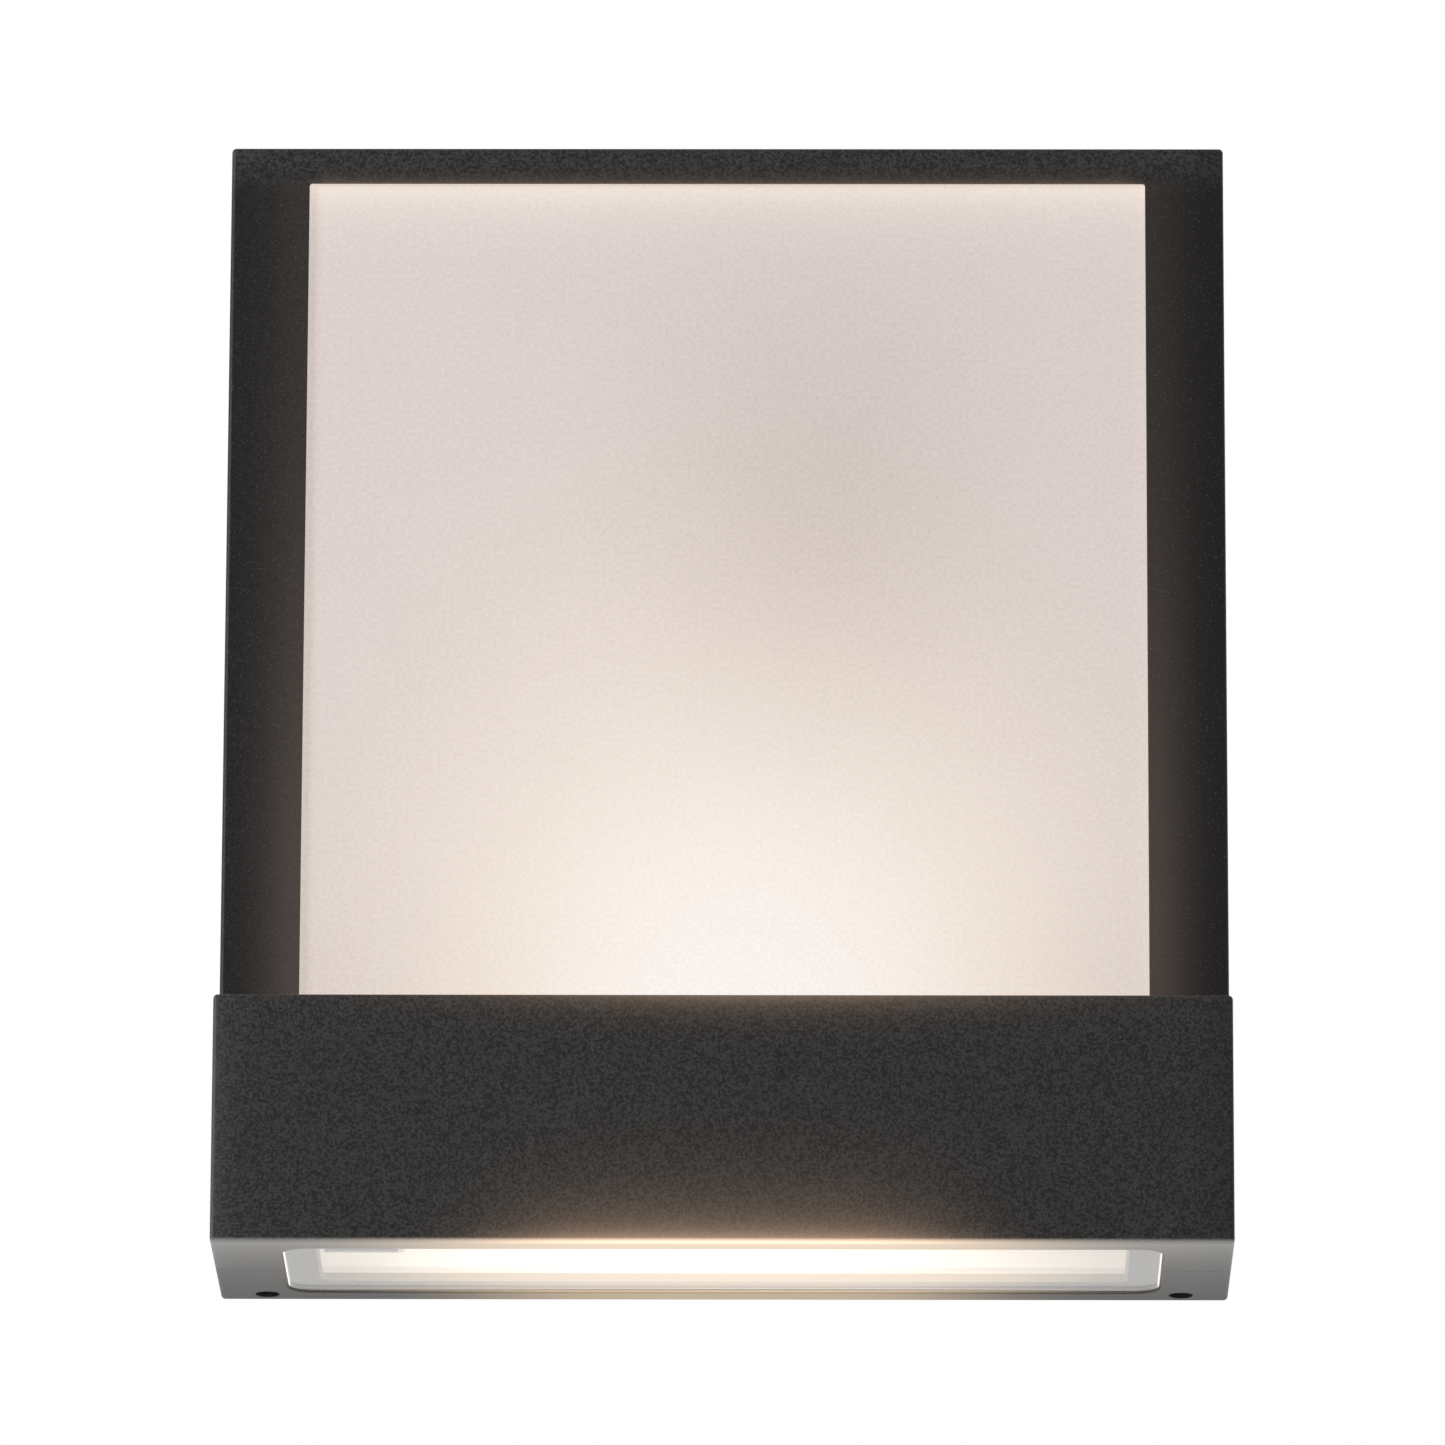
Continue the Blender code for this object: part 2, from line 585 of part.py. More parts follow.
def make_lampholder(plate):
    """The holder's bracket, body, shell and contact, with the screws that fix them."""
    sheet = 0.0015
    half = 0.0178
    foot = 0.0170
    bracket = block(
        "lampholder_bracket", (BRACKET_X - sheet, LAMP_Y - 0.0150, LAMP_Z - half),
        (BRACKET_X, ON_PLATE, LAMP_Z + half), "zinc_steel", 0.0030,
        lambda centre, direction: centre.y < 0 and abs(direction.x) > 0.9, 3,
    )
    foot_low = (BRACKET_X - sheet - foot, ON_PLATE - sheet, LAMP_Z - half)
    join(bracket, block("cut_bracket_foot", foot_low, (BRACKET_X - sheet / 2, ON_PLATE, LAMP_Z + half)))
    cut(bracket, rod("cut_bracket_hole", (BRACKET_X, LAMP_Y, LAMP_Z), "X", 0.0085, 0.02))

    reach = HOLDER_MOUTH_X - HOLDER_REAR_X
    floor = HOLDER_FLOOR_X - HOLDER_REAR_X
    body = turned(
        "lampholder_body",
        [
            (0, floor), (HOLDER_BORE, floor), (HOLDER_BORE, reach), (0.0185, reach), (0.0195, reach - 0.001),
            (0.0195, floor), (0.0175, floor - 0.003), (0.0175, 0.0008), (0.0167, 0), (0, 0),
        ],
        (HOLDER_REAR_X, LAMP_Y, LAMP_Z), "+X", "white_ceramic", 32,
    )
    shell_rear = HOLDER_FLOOR_X + 0.0030 - HOLDER_REAR_X
    shell_front = reach - 0.0025
    shell = turned(
        "lampholder_shell",
        [(0.0136, shell_front), (0.0140, shell_front), (0.0140, shell_rear), (0.0136, shell_rear)],
        (HOLDER_REAR_X, LAMP_Y, LAMP_Z), "+X", "brass", 32, closed=True,
    )
    contact = turned(
        "lampholder_contact", [(0, 0.0017), (0.0035, 0.0017), (0.0050, 0.0006), (0.0050, 0), (0, 0)],
        (HOLDER_FLOOR_X + GAP, LAMP_Y, LAMP_Z), "+X", "nickel", 16,
    )
    pieces = [bracket, body, shell, contact]
    for number, rise in ((1, 0.0125), (2, -0.0125)):
        z = LAMP_Z + rise
        head_x = BRACKET_X - sheet - GAP
        cut(bracket, rod(f"cut_holder_screw_{number}", (BRACKET_X, LAMP_Y, z), "X", 0.0019, 0.01, sides=16))
        pocket_at = (HOLDER_REAR_X, LAMP_Y, z)
        cut(body, rod(f"cut_holder_pocket_{number}", pocket_at, "X", 0.0018, 0.014, sides=16))
        pieces.append(pan_screw(
            f"lampholder_screw_{number}", (head_x, LAMP_Y, z), "-X", 0.0030, 0.0020, 0.0015, 0.0080,
            "zinc_steel",
        ))
    for number, offset in ((1, -0.005), (2, 0.005)):
        port_at = (HOLDER_REAR_X, LAMP_Y + offset, LAMP_Z)
        cut(body, rod(f"cut_holder_port_{number}", port_at, "X", 0.0017, 0.010, sides=16))
    for number, rise in ((1, 0.0090), (2, -0.0090)):
        centre = (BRACKET_X - sheet - foot * 0.55, ON_PLATE, LAMP_Z + rise)
        hole = rod(f"cut_foot_hole_{number}", centre, "Y", 0.0020, 0.02, sides=16)
        cut(bracket, hole)
        cut(plate, hole)
        head_at = (centre[0], ON_PLATE - sheet - GAP, centre[2])
        pieces.append(pan_screw(
            f"bracket_screw_{number}", head_at, "-Y", 0.0034, 0.0022, 0.0017, 0.0032, "zinc_steel"
        ))
    return pieces


def thread_profile(top, bottom, root, crest, turns):
    """Rings of a rolled thread, from the top of the cap to its bottom."""
    pitch = (top - bottom) / turns
    points = []
    for turn in range(turns):
        start = top - turn * pitch
        points.append((root, start - 0.05 * pitch))
        points.append((crest, start - 0.40 * pitch))
        points.append((crest, start - 0.60 * pitch))
        points.append((root, start - 0.95 * pitch))
    return points


def make_lamp():
    """A small globe lamp: heights run from its contact at the left to the tip of the globe at the right."""
    axis = (0, LAMP_Y, LAMP_Z)
    contact_x = HOLDER_FLOOR_X + GAP + 0.0017 + GAP
    insulator_x = contact_x + 0.0016 + GAP
    cap_x = insulator_x + 0.0025 + GAP
    neck_x = HOLDER_MOUTH_X - 0.0003
    globe_x = -0.0119
    globe_rim = math.sqrt(LAMP_RADIUS**2 - globe_x**2)
    contact = turned(
        "lamp_contact",
        [
            (0, contact_x + 0.0016),
            (0.0045, contact_x + 0.0016),
            (0.0040, contact_x + 0.0004),
            (0.0020, contact_x),
            (0, contact_x),
        ],
        axis, "+X", "nickel", 16,
    )
    insulator = turned(
        "lamp_insulator",
        [(0, cap_x - GAP), (0.0108, cap_x - GAP), (0.0055, insulator_x), (0, insulator_x)],
        axis, "+X", "black_plastic", 24,
    )
    cap_end = neck_x - GAP
    cap_profile = [
        (0, cap_end), (0.0131, cap_end), (0.0131, cap_end - 0.004),
        *thread_profile(cap_end - 0.0045, cap_x + 0.0015, 0.0122, 0.0130, THREAD_TURNS),
        (0.0112, cap_x), (0, cap_x),
    ]
    cap = turned("lamp_cap", cap_profile, axis, "+X", "nickel", 24)
    neck = turned(
        "lamp_neck",
        [
            (0, globe_x - GAP),
            (globe_rim, globe_x - GAP),
            (0.0180, globe_x - 0.0035),
            (0.0145, neck_x + 0.0030),
            (0.0136, neck_x),
            (0, neck_x),
        ],
        axis, "+X", "white_ceramic", 32,
    )
    shell = 0.0012
    rings = 10
    start_angle = math.acos(globe_x / LAMP_RADIUS)
    outside = []
    inside = []
    for ring in range(rings + 1):
        angle = start_angle * ring / rings
        outside.append((LAMP_RADIUS * math.sin(angle), LAMP_RADIUS * math.cos(angle)))
        inner = LAMP_RADIUS - shell
        inside.append((inner * math.sin(angle), inner * math.cos(angle)))
    inside[-1] = (inside[-1][0], globe_x)
    globe = turned("lamp_globe", outside + inside[::-1], axis, "+X", "opal", 32)
    return [contact, insulator, cap, neck, globe]


def make_wiring():
    """Sleeved wires along the tray, under two saddles, from the terminal block to the lampholder."""
    flat = ON_PLATE - 0.0024
    live_x = 0.0200
    neutral_x = 0.0234
    live_z = -0.0660
    neutral_z = -0.0694
    block_bottom = BLOCK_Z - BLOCK_SIZE[2] / 2
    port_z = block_bottom + 0.0030
    holder_end = HOLDER_REAR_X + 0.0030
    far_port = LAMP_Y - 0.005
    near_port = LAMP_Y + 0.005
    live = wire("wire_live", [
        (BLOCK_X - POLE_PITCH, WIRE_PORT_Y, port_z),
        (BLOCK_X - POLE_PITCH, WIRE_PORT_Y, block_bottom - 0.0045),
        (0.0212, -0.0090, 0.0270),
        (live_x, flat, 0.0180),
        (live_x, flat, -0.0150),
        (live_x, flat, -0.0450),
        (0.0160, flat, -0.0590),
        (0.0050, flat, live_z),
        (-0.0300, flat, live_z),
        (-0.0700, flat, live_z),
        (-0.0920, flat, -0.0690),
        (-0.1010, -0.0085, -0.0790),
        (-0.1030, -0.0170, -0.0920),
        (-0.1010, -0.0280, -0.1010),
        (-0.0930, far_port, LAMP_Z),
        (-0.0820, far_port, LAMP_Z),
        (holder_end, far_port, LAMP_Z),
    ], "brown_sleeve")
    neutral = wire("wire_neutral", [
        (BLOCK_X, WIRE_PORT_Y, port_z),
        (BLOCK_X, WIRE_PORT_Y, block_bottom - 0.0045),
        (0.0280, -0.0090, 0.0265),
        (neutral_x, flat, 0.0160),
        (neutral_x, flat, -0.0150),
        (neutral_x, flat, -0.0470),
        (0.0190, flat, -0.0620),
        (0.0060, flat, neutral_z),
        (-0.0300, flat, neutral_z),
        (-0.0690, flat, neutral_z),
        (-0.0885, flat, -0.0725),
        (-0.0965, -0.0085, -0.0820),
        (-0.0985, -0.0140, -0.0930),
        (-0.0965, -0.0205, -0.1010),
        (-0.0900, near_port, LAMP_Z),
        (-0.0820, near_port, LAMP_Z),
        (holder_end, near_port, LAMP_Z),
    ], "blue_sleeve")
    earth = wire("wire_earth", [
        (BLOCK_X + POLE_PITCH, WIRE_PORT_Y, port_z),
        (BLOCK_X + POLE_PITCH, WIRE_PORT_Y, block_bottom - 0.0035),
        (0.0440, -0.0095, 0.0300),
        (0.0485, -0.0066, 0.0290),
        (0.0500, -0.0058, 0.0262),
    ], "green_sleeve")
    reach = 0.0068
    side = 0.0020
    middle_x = (live_x + neutral_x) / 2
    middle_z = (live_z + neutral_z) / 2
    tunnel = WIRE_RADIUS + (neutral_x - live_x) / 2 + 0.0004
    front = flat - WIRE_RADIUS - 0.0004
    saddles = []
    width = 0.0040
    places = ((1, middle_x, -0.020, reach, width), (2, -0.040, middle_z, width, reach))
    for number, x, z, wide, tall in places:
        saddle = block(
            f"wire_saddle_{number}", (x - wide, front - 0.0010, z - tall), (x + wide, ON_PLATE, z + tall),
            "ivory_plastic", 0.0008, along(1), 2,
        )
        across = tunnel if wide > tall else wide + side
        up = tunnel if tall > wide else tall + side
        cut(saddle, block(f"cut_saddle_{number}", (x - across, front, z - up), (x + across, 0, z + up)))
        saddles.append(saddle)
    return [live, neutral, earth, *saddles]


def main():
    wall_pieces = make_wall_plate()
    plate = wall_pieces[1]
    wall_pieces += make_grommet() + make_terminals() + make_earth(plate)
    wall_pieces += make_lampholder(plate) + make_wiring()
    fixing_x = BLOCK_X + POLE_PITCH / 2
    cut(plate, rod("cut_fixing_plate_hole", (fixing_x, 0, BLOCK_Z), "Y", 0.0016, 0.02, sides=16))
    group("wall_unit", (0, 0, 0), wall_pieces)
    group("lamp", (0, LAMP_Y, LAMP_Z), make_lamp())
    group("housing", (0, REAR, 0), [make_front_housing(), *make_panel(), *make_window_glass()])
    make_retaining_screws()


main()
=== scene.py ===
# Outdoor wall lantern: fine meshes and finishes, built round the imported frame.
import math

import bmesh
import bpy
from mathutils import Matrix, Vector


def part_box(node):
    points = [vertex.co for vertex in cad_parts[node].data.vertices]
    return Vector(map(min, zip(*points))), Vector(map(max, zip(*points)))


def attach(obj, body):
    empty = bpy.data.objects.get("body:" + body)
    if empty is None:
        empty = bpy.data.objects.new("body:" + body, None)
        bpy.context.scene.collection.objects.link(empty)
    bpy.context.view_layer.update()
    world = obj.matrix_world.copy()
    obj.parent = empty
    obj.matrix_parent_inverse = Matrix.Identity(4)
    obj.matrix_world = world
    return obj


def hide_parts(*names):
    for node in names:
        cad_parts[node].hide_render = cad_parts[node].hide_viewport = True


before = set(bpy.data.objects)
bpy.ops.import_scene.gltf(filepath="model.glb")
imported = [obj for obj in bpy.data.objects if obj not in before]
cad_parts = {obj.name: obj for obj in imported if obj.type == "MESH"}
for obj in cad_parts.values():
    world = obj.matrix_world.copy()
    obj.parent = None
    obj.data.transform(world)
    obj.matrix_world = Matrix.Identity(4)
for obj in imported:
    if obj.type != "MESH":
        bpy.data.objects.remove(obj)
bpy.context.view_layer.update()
mm = 0.001
print("frame loaded,", len(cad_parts), "nodes")


# A wrapped socket, so that shader sums read as sums
class Value:
    def __init__(self, finish, socket):
        self.finish = finish
        self.socket = socket

    def math(self, operation, *terms):
        return self.finish.math(operation, *terms)

    def __add__(self, other):
        return self.math("ADD", self, other)

    def __sub__(self, other):
        return self.math("SUBTRACT", self, other)

    def __rsub__(self, other):
        return self.math("SUBTRACT", other, self)

    def __mul__(self, other):
        return self.math("MULTIPLY", self, other)

    def __truediv__(self, other):
        return self.math("DIVIDE", self, other)

    def __rtruediv__(self, other):
        return self.math("DIVIDE", other, self)

    def __pow__(self, other):
        return self.math("POWER", self, other)

    def __rpow__(self, other):
        return self.math("POWER", other, self)

    def __abs__(self):
        return self.math("ABSOLUTE", self)

    __radd__ = __add__
    __rmul__ = __mul__


# Builds one finish, or the world, node by node
class Finish:
    def __init__(self, owner):
        owner.use_nodes = True
        self.owner = owner
        self.tree = owner.node_tree
        self.tree.nodes.clear()

    def node(self, kind, settings=None, sockets=None, out=0):
        made = self.tree.nodes.new(kind)
        for key, value in (settings or {}).items():
            if key == "stops":
                stops = made.color_ramp.elements
                while len(stops) < len(value):
                    stops.new(0.5)
                for stop, (position, color) in zip(stops, value):
                    stop.position = position
                    stop.color = (*color, 1.0)
            else:
                setattr(made, key, value)
        for key, value in (sockets or {}).items():
            if isinstance(value, Value):
                self.tree.links.new(value.socket, made.inputs[key])
            elif made.inputs[key].type == "RGBA":
                made.inputs[key].default_value = (*value[:3], 1.0)
            else:
                made.inputs[key].default_value = value
        return Value(self, made.outputs[out]) if made.outputs else made

    def math(self, operation, *terms):
        return self.node("ShaderNodeMath", {"operation": operation}, dict(enumerate(terms)))

    def place(self, stretch=(1.0, 1.0, 1.0)):
        # the piece's own coordinates in metres, stretched where the grain runs one way
        coords = self.node("ShaderNodeTexCoord", out="Object")
        if stretch == (1.0, 1.0, 1.0):
            return coords
        return self.node("ShaderNodeVectorMath", {"operation": "MULTIPLY"}, {0: coords, 1: stretch})

    def axes(self, vector):
        split = self.node("ShaderNodeSeparateXYZ", {}, {0: vector})
        return [Value(self, output) for output in split.socket.node.outputs]

    def noise(self, place, grain, detail=2.0, roughness=0.5):
        # grain is the size of the pattern in metres
        return self.node("ShaderNodeTexNoise", {}, {
            "Vector": place, "Scale": 1.0 / grain, "Detail": detail, "Roughness": roughness})

    def cells(self, place, grain):
        return self.node("ShaderNodeTexVoronoi", {}, {"Vector": place, "Scale": 1.0 / grain})

    def between(self, value, low, high, start=0.0, end=1.0):
        # a soft step from start at low to end at high
        return self.node("ShaderNodeMapRange", {"interpolation_type": "SMOOTHSTEP"}, {
            "Value": value, "From Min": low, "From Max": high, "To Min": start, "To Max": end})

    def fading(self, distance, reach):
        # 1 at no distance, and e times less for every reach further
        return math.e ** (distance * (-1.0 / reach))

    def bell(self, *shares):
        # 1 in the middle, fading softly as any of the shares grows past 1
        return self.fading(sum(share * share for share in shares), 1.0)

    def plateau(self, share):
        # as a bell, but flatter in the middle and steeper round it
        return self.bell(share * share)

    def mix(self, factor, first, second):
        return self.node("ShaderNodeMix", {"data_type": "RGBA"}, {0: factor, 6: first, 7: second}, out=2)

    def tinted(self, value, color, onto=(0.0, 0.0, 0.0)):
        # a value times a colour, added to another colour
        return self.node("ShaderNodeVectorMath", {"operation": "MULTIPLY_ADD"}, {0: value, 1: color, 2: onto})

    def bump(self, height, depth, strength=1.0, under=None):
        sockets = {"Height": height, "Distance": depth, "Strength": strength}
        if under:
            sockets["Normal"] = under
        return self.node("ShaderNodeBump", {}, sockets)

    def finished(self, **sockets):
        shader = self.node("ShaderNodeBsdfPrincipled", {}, {
            key.replace("_", " "): value for key, value in sockets.items()})
        self.node("ShaderNodeOutputMaterial", {}, {"Surface": shader})
        return self.owner


def newFinish(name):
    return Finish(bpy.data.materials.new(name))


def shaded(mesh, sharp=32.0):
    # smooth, except across edges sharper than this many degrees
    mesh.shade_smooth()
    mesh.set_sharp_from_angle(angle=math.radians(sharp))


def asPiece(name, bm, spot=None):
    bmesh.ops.remove_doubles(bm, verts=bm.verts, dist=1e-6)
    bmesh.ops.recalc_face_normals(bm, faces=bm.faces)
    mesh = bpy.data.meshes.new(name)
    bm.to_mesh(mesh)
    bm.free()
    shaded(mesh)
    piece = bpy.data.objects.new(name, mesh)
    bpy.context.scene.collection.objects.link(piece)
    if spot:
        piece.matrix_world = spot
        bpy.context.view_layer.update()
    return piece


def lofted(rings, capped=True, looped=False):
    # a skin over rings that all have the same number of points
    bm = bmesh.new()
    rows = [[bm.verts.new(point) for point in ring] for ring in rings]
    pairs = list(zip(rows, rows[1:])) + ([(rows[-1], rows[0])] if looped else [])
    for lower, upper in pairs:
        for here in range(len(lower)):
            there = (here + 1) % len(lower)
            bm.faces.new((lower[here], lower[there], upper[there], upper[here]))
    if capped and not looped:
        bm.faces.new(rows[0][::-1])
        bm.faces.new(rows[-1])
    return bm


def rounded(points, radius, steps=5, closed=True):
    # an outline with its corners rounded; a third number is that corner's own radius
    made = []
    for index, point in enumerate(points):
        corner = Vector(point[:2])
        own = point[2] if len(point) > 2 else radius
        if own <= 0 or (not closed and index in (0, len(points) - 1)):
            made.append(corner)
            continue
        back = Vector(points[index - 1][:2]) - corner
        ahead = Vector(points[(index + 1) % len(points)][:2]) - corner
        half = back.angle(ahead) / 2
        if half > math.pi / 2 - 0.01:
            made.append(corner)
            continue
        reach = min(own / math.tan(half), 0.49 * back.length, 0.49 * ahead.length)
        back.normalize()
        ahead.normalize()
        centre = corner + (back + ahead).normalized() * (reach / math.cos(half))
        start = corner + back * reach - centre
        end = corner + ahead * reach - centre
        sweep = start.angle(end)
        for step in range(steps + 1):
            share = step / steps
            made.append(centre + (start * math.sin((1 - share) * sweep) + end * math.sin(share * sweep))
                        / math.sin(sweep))
    return made


def inset(outline, amount):
    # an outline moved inwards, for one that runs anticlockwise
    made = []
    for index, point in enumerate(outline):
        before = (point - outline[index - 1]).normalized()
        after = (outline[(index + 1) % len(outline)] - point).normalized()
        inward = (before + after).normalized().orthogonal()
        lean = max(0.3, inward.dot(before.orthogonal()))
        made.append(point + inward * (amount / lean))
    return made


def rectangle(low, high, radius=0.0, steps=5):
    corners = [(low[0], low[1]), (high[0], low[1]), (high[0], high[1]), (low[0], high[1])]
    return rounded(corners, radius, steps)


def onAxis(axis, pair, along):
    first, second = pair
    return {"X": (along, first, second), "Y": (first, along, second), "Z": (first, second, along)}[axis]


def plate(name, outline, low, high, axis, edge=0.0, steps=3, edges=(True, True)):
    # an outline drawn out along an axis, with its end edges rounded
    outline = [Vector(point[:2]) for point in outline]
    turning = sum(a.cross(b) for a, b in zip(outline, outline[1:] + outline[:1]))
    if turning < 0:
        outline.reverse()
    layers = []
    for end, sign, soft in ((low, 1, edges[0]), (high, -1, edges[1])):
        rows = [(0.0, 0.0)]
        if edge and soft:
            angles = [math.pi / 2 * step / steps for step in range(steps + 1)]
            rows = [(edge * (1 - math.sin(angle)), edge * (1 - math.cos(angle))) for angle in angles]
        made = [(inset(outline, back) if back else outline, end + sign * rise) for back, rise in rows]
        layers += made if sign > 0 else made[::-1]
    return asPiece(name, lofted([[onAxis(axis, point, at) for point in ring] for ring, at in layers]))


def block(name, low, high, edge=0.0, steps=4, axis="Y", corner=None, cornerSteps=5, edges=(True, True)):
    # a box between two corners: corner rounds its edges along the axis, edge the ones round both ends
    first, second, along = {"X": (1, 2, 0), "Y": (0, 2, 1), "Z": (0, 1, 2)}[axis]
    radius = edge if corner is None else corner
    outline = rectangle((low[first], low[second]), (high[first], high[second]), radius, cornerSteps)
    return plate(name, outline, low[along], high[along], axis, edge, steps, edges)


turns = {
    "+X": Matrix.Rotation(math.pi / 2, 4, "Y"),
    "-X": Matrix.Rotation(-math.pi / 2, 4, "Y"),
    "+Y": Matrix.Rotation(-math.pi / 2, 4, "X"),
    "-Y": Matrix.Rotation(math.pi / 2, 4, "X"),
    "+Z": Matrix.Identity(4),
    "-Z": Matrix.Rotation(math.pi, 4, "X"),
}


def turned(name, profile, origin, axis, steps=64, closed=False, pitch=None, sharpThread=False):
    # a profile of (radius, height) turned about an axis; a third number is how deep a thread is cut there
    rings = []
    for radius, height, *cut in profile:
        ring = []
        for step in range(steps):
            around = step / steps
            here = radius
            if cut and cut[0]:
                wave = (height / pitch - around) % 1.0
                groove = abs(2 * wave - 1) if sharpThread else 0.5 + 0.5 * math.cos(2 * math.pi * wave)
                here -= cut[0] * groove
            angle = 2 * math.pi * around
            ring.append((here * math.cos(angle), here * math.sin(angle), height))
        rings.append(ring)
    bm = lofted(rings, looped=closed)
    return asPiece(name, bm, Matrix.Translation(origin) @ turns[axis])


def rod(name, centre, axis, radius, length, steps=48):
    return turned(name, [(radius, -length / 2), (radius, length / 2)], centre, "+" + axis, steps)


def settled(piece):
    # the piece's modifiers worked into its mesh
    bpy.context.view_layer.update()
    made = piece.evaluated_get(bpy.context.evaluated_depsgraph_get())
    mesh = bpy.data.meshes.new_from_object(made)
    piece.modifiers.clear()
    piece.data = mesh
    mesh.name = piece.name
    mesh.materials.clear()
    shaded(mesh)


def combined(operation, piece, tools):
    for tool in tools:
        step = piece.modifiers.new(tool.name, "BOOLEAN")
        step.operation = operation
        step.object = tool
        step.solver = "MANIFOLD"
    settled(piece)
    for tool in tools:
        bpy.data.objects.remove(tool)


def scored(piece, planes):
    # splits the faces on planes through the holes to come, as a face can't hold a whole hole
    bm = bmesh.new()
    bm.from_mesh(piece.data)
    for axis, places in planes.items():
        normal = Vector([float(name == axis) for name in "XYZ"])
        for place in sorted(set(places)):
            everything = bm.verts[:] + bm.edges[:] + bm.faces[:]
            bmesh.ops.bisect_plane(
                bm, geom=everything, dist=1e-7, plane_co=normal * place, plane_no=normal)
    bm.to_mesh(piece.data)
    bm.free()


def cut(piece, *tools):
    combined("DIFFERENCE", piece, tools)


def join(piece, *tools):
    combined("UNION", piece, tools)


def softened(piece, width, steps=2, sharp=35.0, choose=None, merge=True):
    # rounds the edges that a cut has left sharp
    bm = bmesh.new()
    bm.from_mesh(piece.data)
    bmesh.ops.remove_doubles(bm, verts=bm.verts, dist=1e-6)
    if merge:
        bmesh.ops.dissolve_limit(bm, angle_limit=math.radians(0.5), verts=bm.verts, edges=bm.edges)
    edges = []
    for edge in bm.edges:
        middle = (edge.verts[0].co + edge.verts[1].co) / 2
        if edge.is_manifold and edge.calc_face_angle() > math.radians(sharp):
            if choose is None or choose(middle):
                edges.append(edge)
    bmesh.ops.bevel(
        bm, geom=edges, offset=width, segments=steps, profile=0.5, affect="EDGES", clamp_overlap=False)
    bm.to_mesh(piece.data)
    bm.free()
    shaded(piece.data)


def copied(piece, name, origin):
    made = piece.copy()
    made.data = piece.data.copy()
    made.name = name
    made.data.name = name
    made.matrix_world.translation = origin
    bpy.context.scene.collection.objects.link(made)
    bpy.context.view_layer.update()
    return made


def middleOf(node):
    low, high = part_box(node)
    return (low + high) / 2


def install(piece, body, finish, slotName, *nodes):
    # the finish of a piece, the body that it rides on and the CAD nodes that it stands for
    if not piece.data.materials:
        piece.data.materials.append(finish)
    normals = piece.modifiers.new("normals", "WEIGHTED_NORMAL")
    normals.keep_sharp = True
    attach(piece, body)
    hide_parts(*nodes)


camera = {
    "lens": 314.69,
    "spot": (28.5 * mm, -2839.7 * mm, -802.2 * mm),
    "lookUp": 15.849,   # degrees
    "lookLeft": 0.594,
    "roll": 0.222,
}

studio = {
    "behind": 1.02,     # brightness of the room behind the lantern, and in front of it
    "front": 0.28,
    "warmth": (1.0, 0.985, 0.97),
    "keyTint": (1.0, 0.99, 0.98), "fillTint": (0.98, 0.99, 1.0),
    "keySpot": (-1.5, -1.0, 0.35), "keySize": 1.0, "keyPower": 17.0,
    "fillSpot": (1.6, -2.2, 1.2), "fillSize": 2.0, "fillPower": 4.0,
    "floorHeight": -1.8, "floorRadius": 3.6, "floorThickness": 20 * mm,
    "floorColors": ((0.86, 0.86, 0.85), (0.90, 0.90, 0.89)),
}


def makeCamera():
    data = bpy.data.cameras.new("camera")
    data.lens = camera["lens"]
    data.sensor_width = 36.0
    data.clip_start = 0.05
    data.clip_end = 60.0
    seen = bpy.data.objects.new("camera", data)
    heading = Matrix.Rotation(math.radians(camera["lookLeft"]), 4, "Z")
    lift = Matrix.Rotation(math.radians(90 + camera["lookUp"]), 4, "X")
    roll = Matrix.Rotation(math.radians(camera["roll"]), 4, "Z")
    seen.matrix_world = Matrix.Translation(camera["spot"]) @ heading @ lift @ roll
    bpy.context.scene.collection.objects.link(seen)
    bpy.context.scene.camera = seen


def makeWorld():
    world = bpy.data.worlds.new("studio")
    bpy.context.scene.world = world
    sky = Finish(world)
    direction = sky.node("ShaderNodeTexCoord", out="Generated")
    depth = sky.axes(direction)[1]
    level = sky.between(depth, -0.35, 0.55, studio["front"], studio["behind"])
    light = sky.tinted(level, studio["warmth"])
    seen = sky.node("ShaderNodeLightPath", out="Is Camera Ray")
    color = sky.mix(seen, light, (1.0, 1.0, 1.0))
    glow = sky.node("ShaderNodeBackground", {}, {"Color": color, "Strength": 1.0})
    sky.node("ShaderNodeOutputWorld", {}, {"Surface": glow})


def makeLight(name, spot, size, power, tint):
    data = bpy.data.lights.new(name, "AREA")
    data.shape = "DISK"
    data.size = size
    data.energy = power
    data.color = tint
    lamp = bpy.data.objects.new(name, data)
    lamp.location = spot
    lamp.rotation_euler = (-Vector(spot)).to_track_quat("-Z", "Y").to_euler()
    bpy.context.scene.collection.objects.link(lamp)


def makeFloor():
    finish = newFinish("studioFloor")
    place = finish.place()
    tone = finish.noise(place, 0.35, 3.0)
    speck = finish.noise(place, 4 * mm, 2.0)
    color = finish.mix(tone, *studio["floorColors"])
    material = finish.finished(Base_Color=color, Roughness=0.75, Normal=finish.bump(speck, 0.2 * mm, 0.3))
    radius, under = studio["floorRadius"], -studio["floorThickness"]
    profile = rounded([(0, under), (radius, under), (radius, 0), (0, 0)], 6 * mm, 4, closed=False)
    floor = turned("floor", profile, (0, 0, studio["floorHeight"]), "+Z", 128)
    floor.data.materials.append(material)


bpy.context.scene.view_settings.view_transform = "Standard"
makeCamera()
makeWorld()
makeLight("keyLight", studio["keySpot"], studio["keySize"], studio["keyPower"], studio["keyTint"])
makeLight("fillLight", studio["fillSpot"], studio["fillSize"], studio["fillPower"], studio["fillTint"])
makeFloor()
print("camera, light and floor made")


